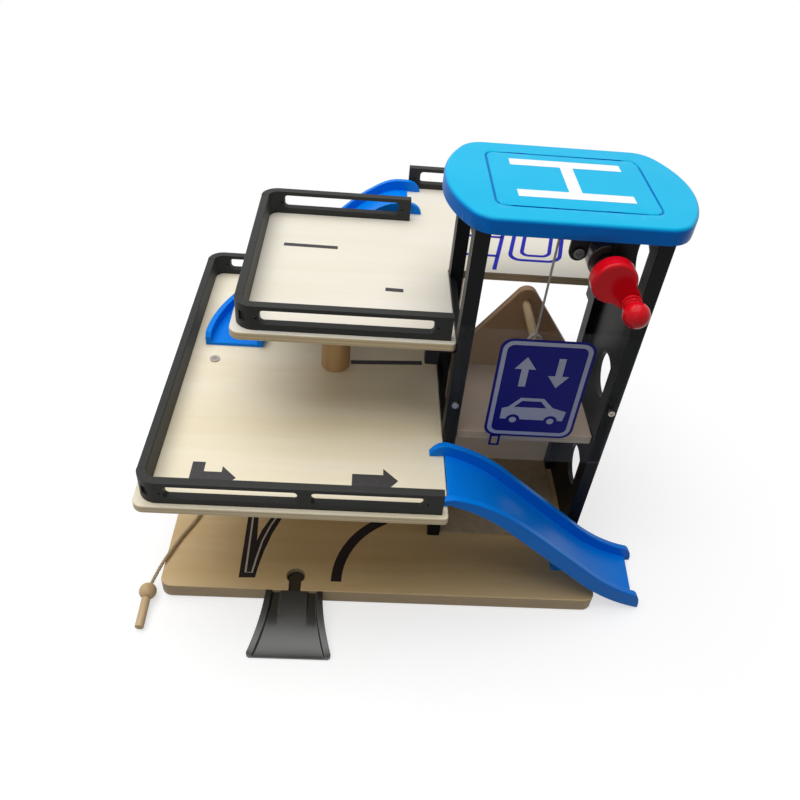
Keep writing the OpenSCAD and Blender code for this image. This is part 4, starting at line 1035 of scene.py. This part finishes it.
rail_fork = [
    (53.8, 9), (65.3, 9.4), (66.3, 18.5), (68.8, 32.9), (72.8, 48.9), (78, 63), (84, 76), (74, 76),
    (69.7, 63), (64.9, 52), (62.5, 42), (61, 62), (60.4, 78), (52.6, 78), (53.1, 62),
]
flat_mark("base_rail", [rail_fork], base, BROWN_INK)
rail_line = [
    (56.4, 78), (56.8, 62), (57.4, 40), (58, 13.6), (62.6, 13.6), (64, 25), (66.5, 42), (71, 57), (79, 76),
]
over_rail = on_level(BASE_TOP + INK_FILM + INK_GAP)
flat_mark("base_rail_line", [stroke(rail_line, 1.3)], over_rail, PALE_INK)
road_bend = arc(188.5, 8.5, 69.5, 180, 118, 24) + arc(188.5, 8.5, 62, 118, 180, 24)
flat_mark("base_road_bend", [road_bend], base, BROWN_INK)

pad_letter = [
    (215, 78), (282.5, 78), (282.5, 86.5), (252.8, 86.5), (252.8, 119.3), (283, 119.3), (283, 127.8),
    (215, 127.8), (215, 119.3), (245.2, 119.3), (245.2, 86.5), (215, 86.5),
]
PAD_GROOVE = 0.8
# A darker ring on the groove's floor is painted shade in the groove.
groove_shade_outline = [rounded(200.7, 65.2, 296.3, 136.8, 6.8), rounded(201.8, 66.3, 295.2, 135.7, 5.7)]
flat_mark("pad_groove_painted_shade", groove_shade_outline, on_level(PAD_TOP - PAD_GROOVE), GROOVE_PAINTED_SHADE)
flat_mark("pad_letter", [pad_letter], on_level(PAD_TOP), WHITE_INK)
print("deck, base and pad marks: 14")

# %% [markdown]
# ## Sign on the pane
# A blue sign is printed on the clear pane. It has a pale border, two arrows for the lift going up
# and down, and a small car seen from the side. The layers of ink lie on one another, so each next
# layer stands a little further out.


# %% Sign
PANE_FRONT = 52


def sign_mark(name, outlines, layer, colour):
    """Prints one layer of the sign above the layers printed before."""
    front = PANE_FRONT - layer * (INK_FILM + INK_GAP)
    flat_mark(name, outlines, lambda across, up, out: at(across, front - out, up), colour)


sign_mark("sign_field", [rounded(216, 122.4, 275.5, 203, 8)], 0, NAVY_INK)
border = [rounded(217.8, 124.2, 273.7, 201.2, 6.8), rounded(220.6, 127, 270.9, 198.4, 4.4)]
sign_mark("sign_border", border, 1, GREY_INK)
up_arrow = [(232, 166), (236.5, 166), (236.5, 180), (241, 180), (234.2, 189.5), (227.5, 180), (232, 180)]
ARROW_STEP, ARROW_ENDS = 22, 166 + 189.5
down_arrow = [(x + ARROW_STEP, ARROW_ENDS - z) for x, z in up_arrow]
sign_mark("sign_arrow_up", [up_arrow], 1, GREY_INK)
sign_mark("sign_arrow_down", [down_arrow[::-1]], 1, GREY_INK)
car_body = [
    (225, 138), (266.5, 138), (267.5, 146), (258, 149), (251, 156.5), (236, 156.5), (229, 148.5), (225, 147),
]
car_window = [(232.5, 148.5), (254, 148.5), (249.5, 154), (237.2, 154)]
sign_mark("sign_car", [car_body, car_window], 1, GREY_INK)
for number, x in enumerate((233.5, 258.5), 1):
    sign_mark("sign_wheel_%d" % number, [arc(x, 137.5, 4.6, 0, 345, 23)], 2, NAVY_INK)
    sign_mark("sign_hub_%d" % number, [arc(x, 137.5, 2.4, 0, 345, 23)], 3, GREY_INK)
post = [rounded(221, 113.2, 228.2, 122.9, 0.6), rounded(222.5, 114.7, 226.7, 121.4, 0.4)]
sign_mark("sign_post", post, 0, NAVY_INK)
print("sign pieces: 10")

# %% [markdown]
# ## Studio
# The toy stands on a white table under a large soft lamp, so the tops are bright and the faces
# towards the viewer are in half shade. A weak lamp in front keeps the shade from going black.
# A table only looks evenly white where the lamp lights it, so for the camera it glows a little, and
# fully where it is far from the toy. The other rays meet a grey table, which throws less light up.


# %% Table
def seen_rays(tree):
    """1 for rays that show a thing to the camera, straight, mirrored or through glass."""
    ray = put(tree, "ShaderNodeLightPath").outputs
    seen = ray["Is Camera Ray"]
    for kind in ("Is Glossy Ray", "Is Transmission Ray"):
        seen = calc(tree, "MAXIMUM", seen, ray[kind])
    return seen


FLOOR_SIZE, TABLE_DROP = 6.0, 0.4 * MM
half = FLOOR_SIZE / 2
floor_mesh = bpy.data.meshes.new("table_top")
floor_corners = [(-half, -half, 0), (half, -half, 0), (half, half, 0), (-half, half, 0)]
floor_mesh.from_pydata(floor_corners, [], [(0, 1, 2, 3)])
floor = bpy.data.objects.new("table_top", floor_mesh)
floor.location = (0, 0, -TABLE_DROP)
bpy.context.scene.collection.objects.link(floor)
WHITE_TABLE, table_tree, _ = new_finish("white_table")
table_tree.nodes.clear()
near = put(table_tree, "ShaderNodeBsdfDiffuse", {"Color": (0.5, 0.5, 0.5, 1)})
glow = put(table_tree, "ShaderNodeEmission", {"Strength": 0.62})
lit = put(table_tree, "ShaderNodeAddShader", {0: near.outputs[0], 1: glow.outputs[0]})
white = put(table_tree, "ShaderNodeEmission", {"Strength": 1.0})
table_place = put(table_tree, "ShaderNodeTexCoord").outputs["Object"]
away = put(table_tree, "ShaderNodeVectorMath", {0: table_place}, operation="LENGTH")
fade = put(table_tree, "ShaderNodeMapRange", {
    "Value": away.outputs["Value"], "From Min": 0.22, "From Max": 0.5}, interpolation_type="SMOOTHSTEP")
shown = put(table_tree, "ShaderNodeMixShader", {
    0: fade.outputs["Result"], 1: lit.outputs[0], 2: white.outputs[0]})
grey = put(table_tree, "ShaderNodeBsdfDiffuse", {"Color": (0.3, 0.3, 0.3, 1)})
table_face = put(table_tree, "ShaderNodeMixShader", {
    0: seen_rays(table_tree), 1: grey.outputs[0], 2: shown.outputs[0]})
put(table_tree, "ShaderNodeOutputMaterial", {"Surface": table_face.outputs[0]})
floor_mesh.materials.append(WHITE_TABLE)
print("table ready")

# %% [markdown]
# The lamps and the world come last. The world is white where the camera looks at it and weak where
# it only fills the shade.


# %% Lamps and world
def soft_lamp(name, place, target, size, watts):
    """Square area lamp aimed at a point."""
    data = bpy.data.lights.new(name, "AREA")
    data.shape = "SQUARE"
    data.size = size
    data.energy = watts
    lamp = bpy.data.objects.new(name, data)
    lamp.location = place
    lamp.rotation_euler = (Vector(target) - Vector(place)).to_track_quat("-Z", "Y").to_euler()
    bpy.context.scene.collection.objects.link(lamp)


soft_lamp("overhead_lamp", (-0.3, 0.1, 1.6), (0, 0, 0.1), 1.8, 28)
soft_lamp("front_lamp", (-0.6, -1.3, 0.9), (0, 0, 0.1), 1.2, 2)

world = bpy.data.worlds.new("white_room")
bpy.context.scene.world = world
world.use_nodes = True
room = world.node_tree
room.nodes.clear()
strength = ranged(room, seen_rays(room), 0, 1, 0.14, 1.0)
backdrop = put(room, "ShaderNodeBackground", {"Color": (1, 1, 1, 1), "Strength": strength})
put(room, "ShaderNodeOutputWorld", {"Surface": backdrop.outputs[0]})
print("studio ready")
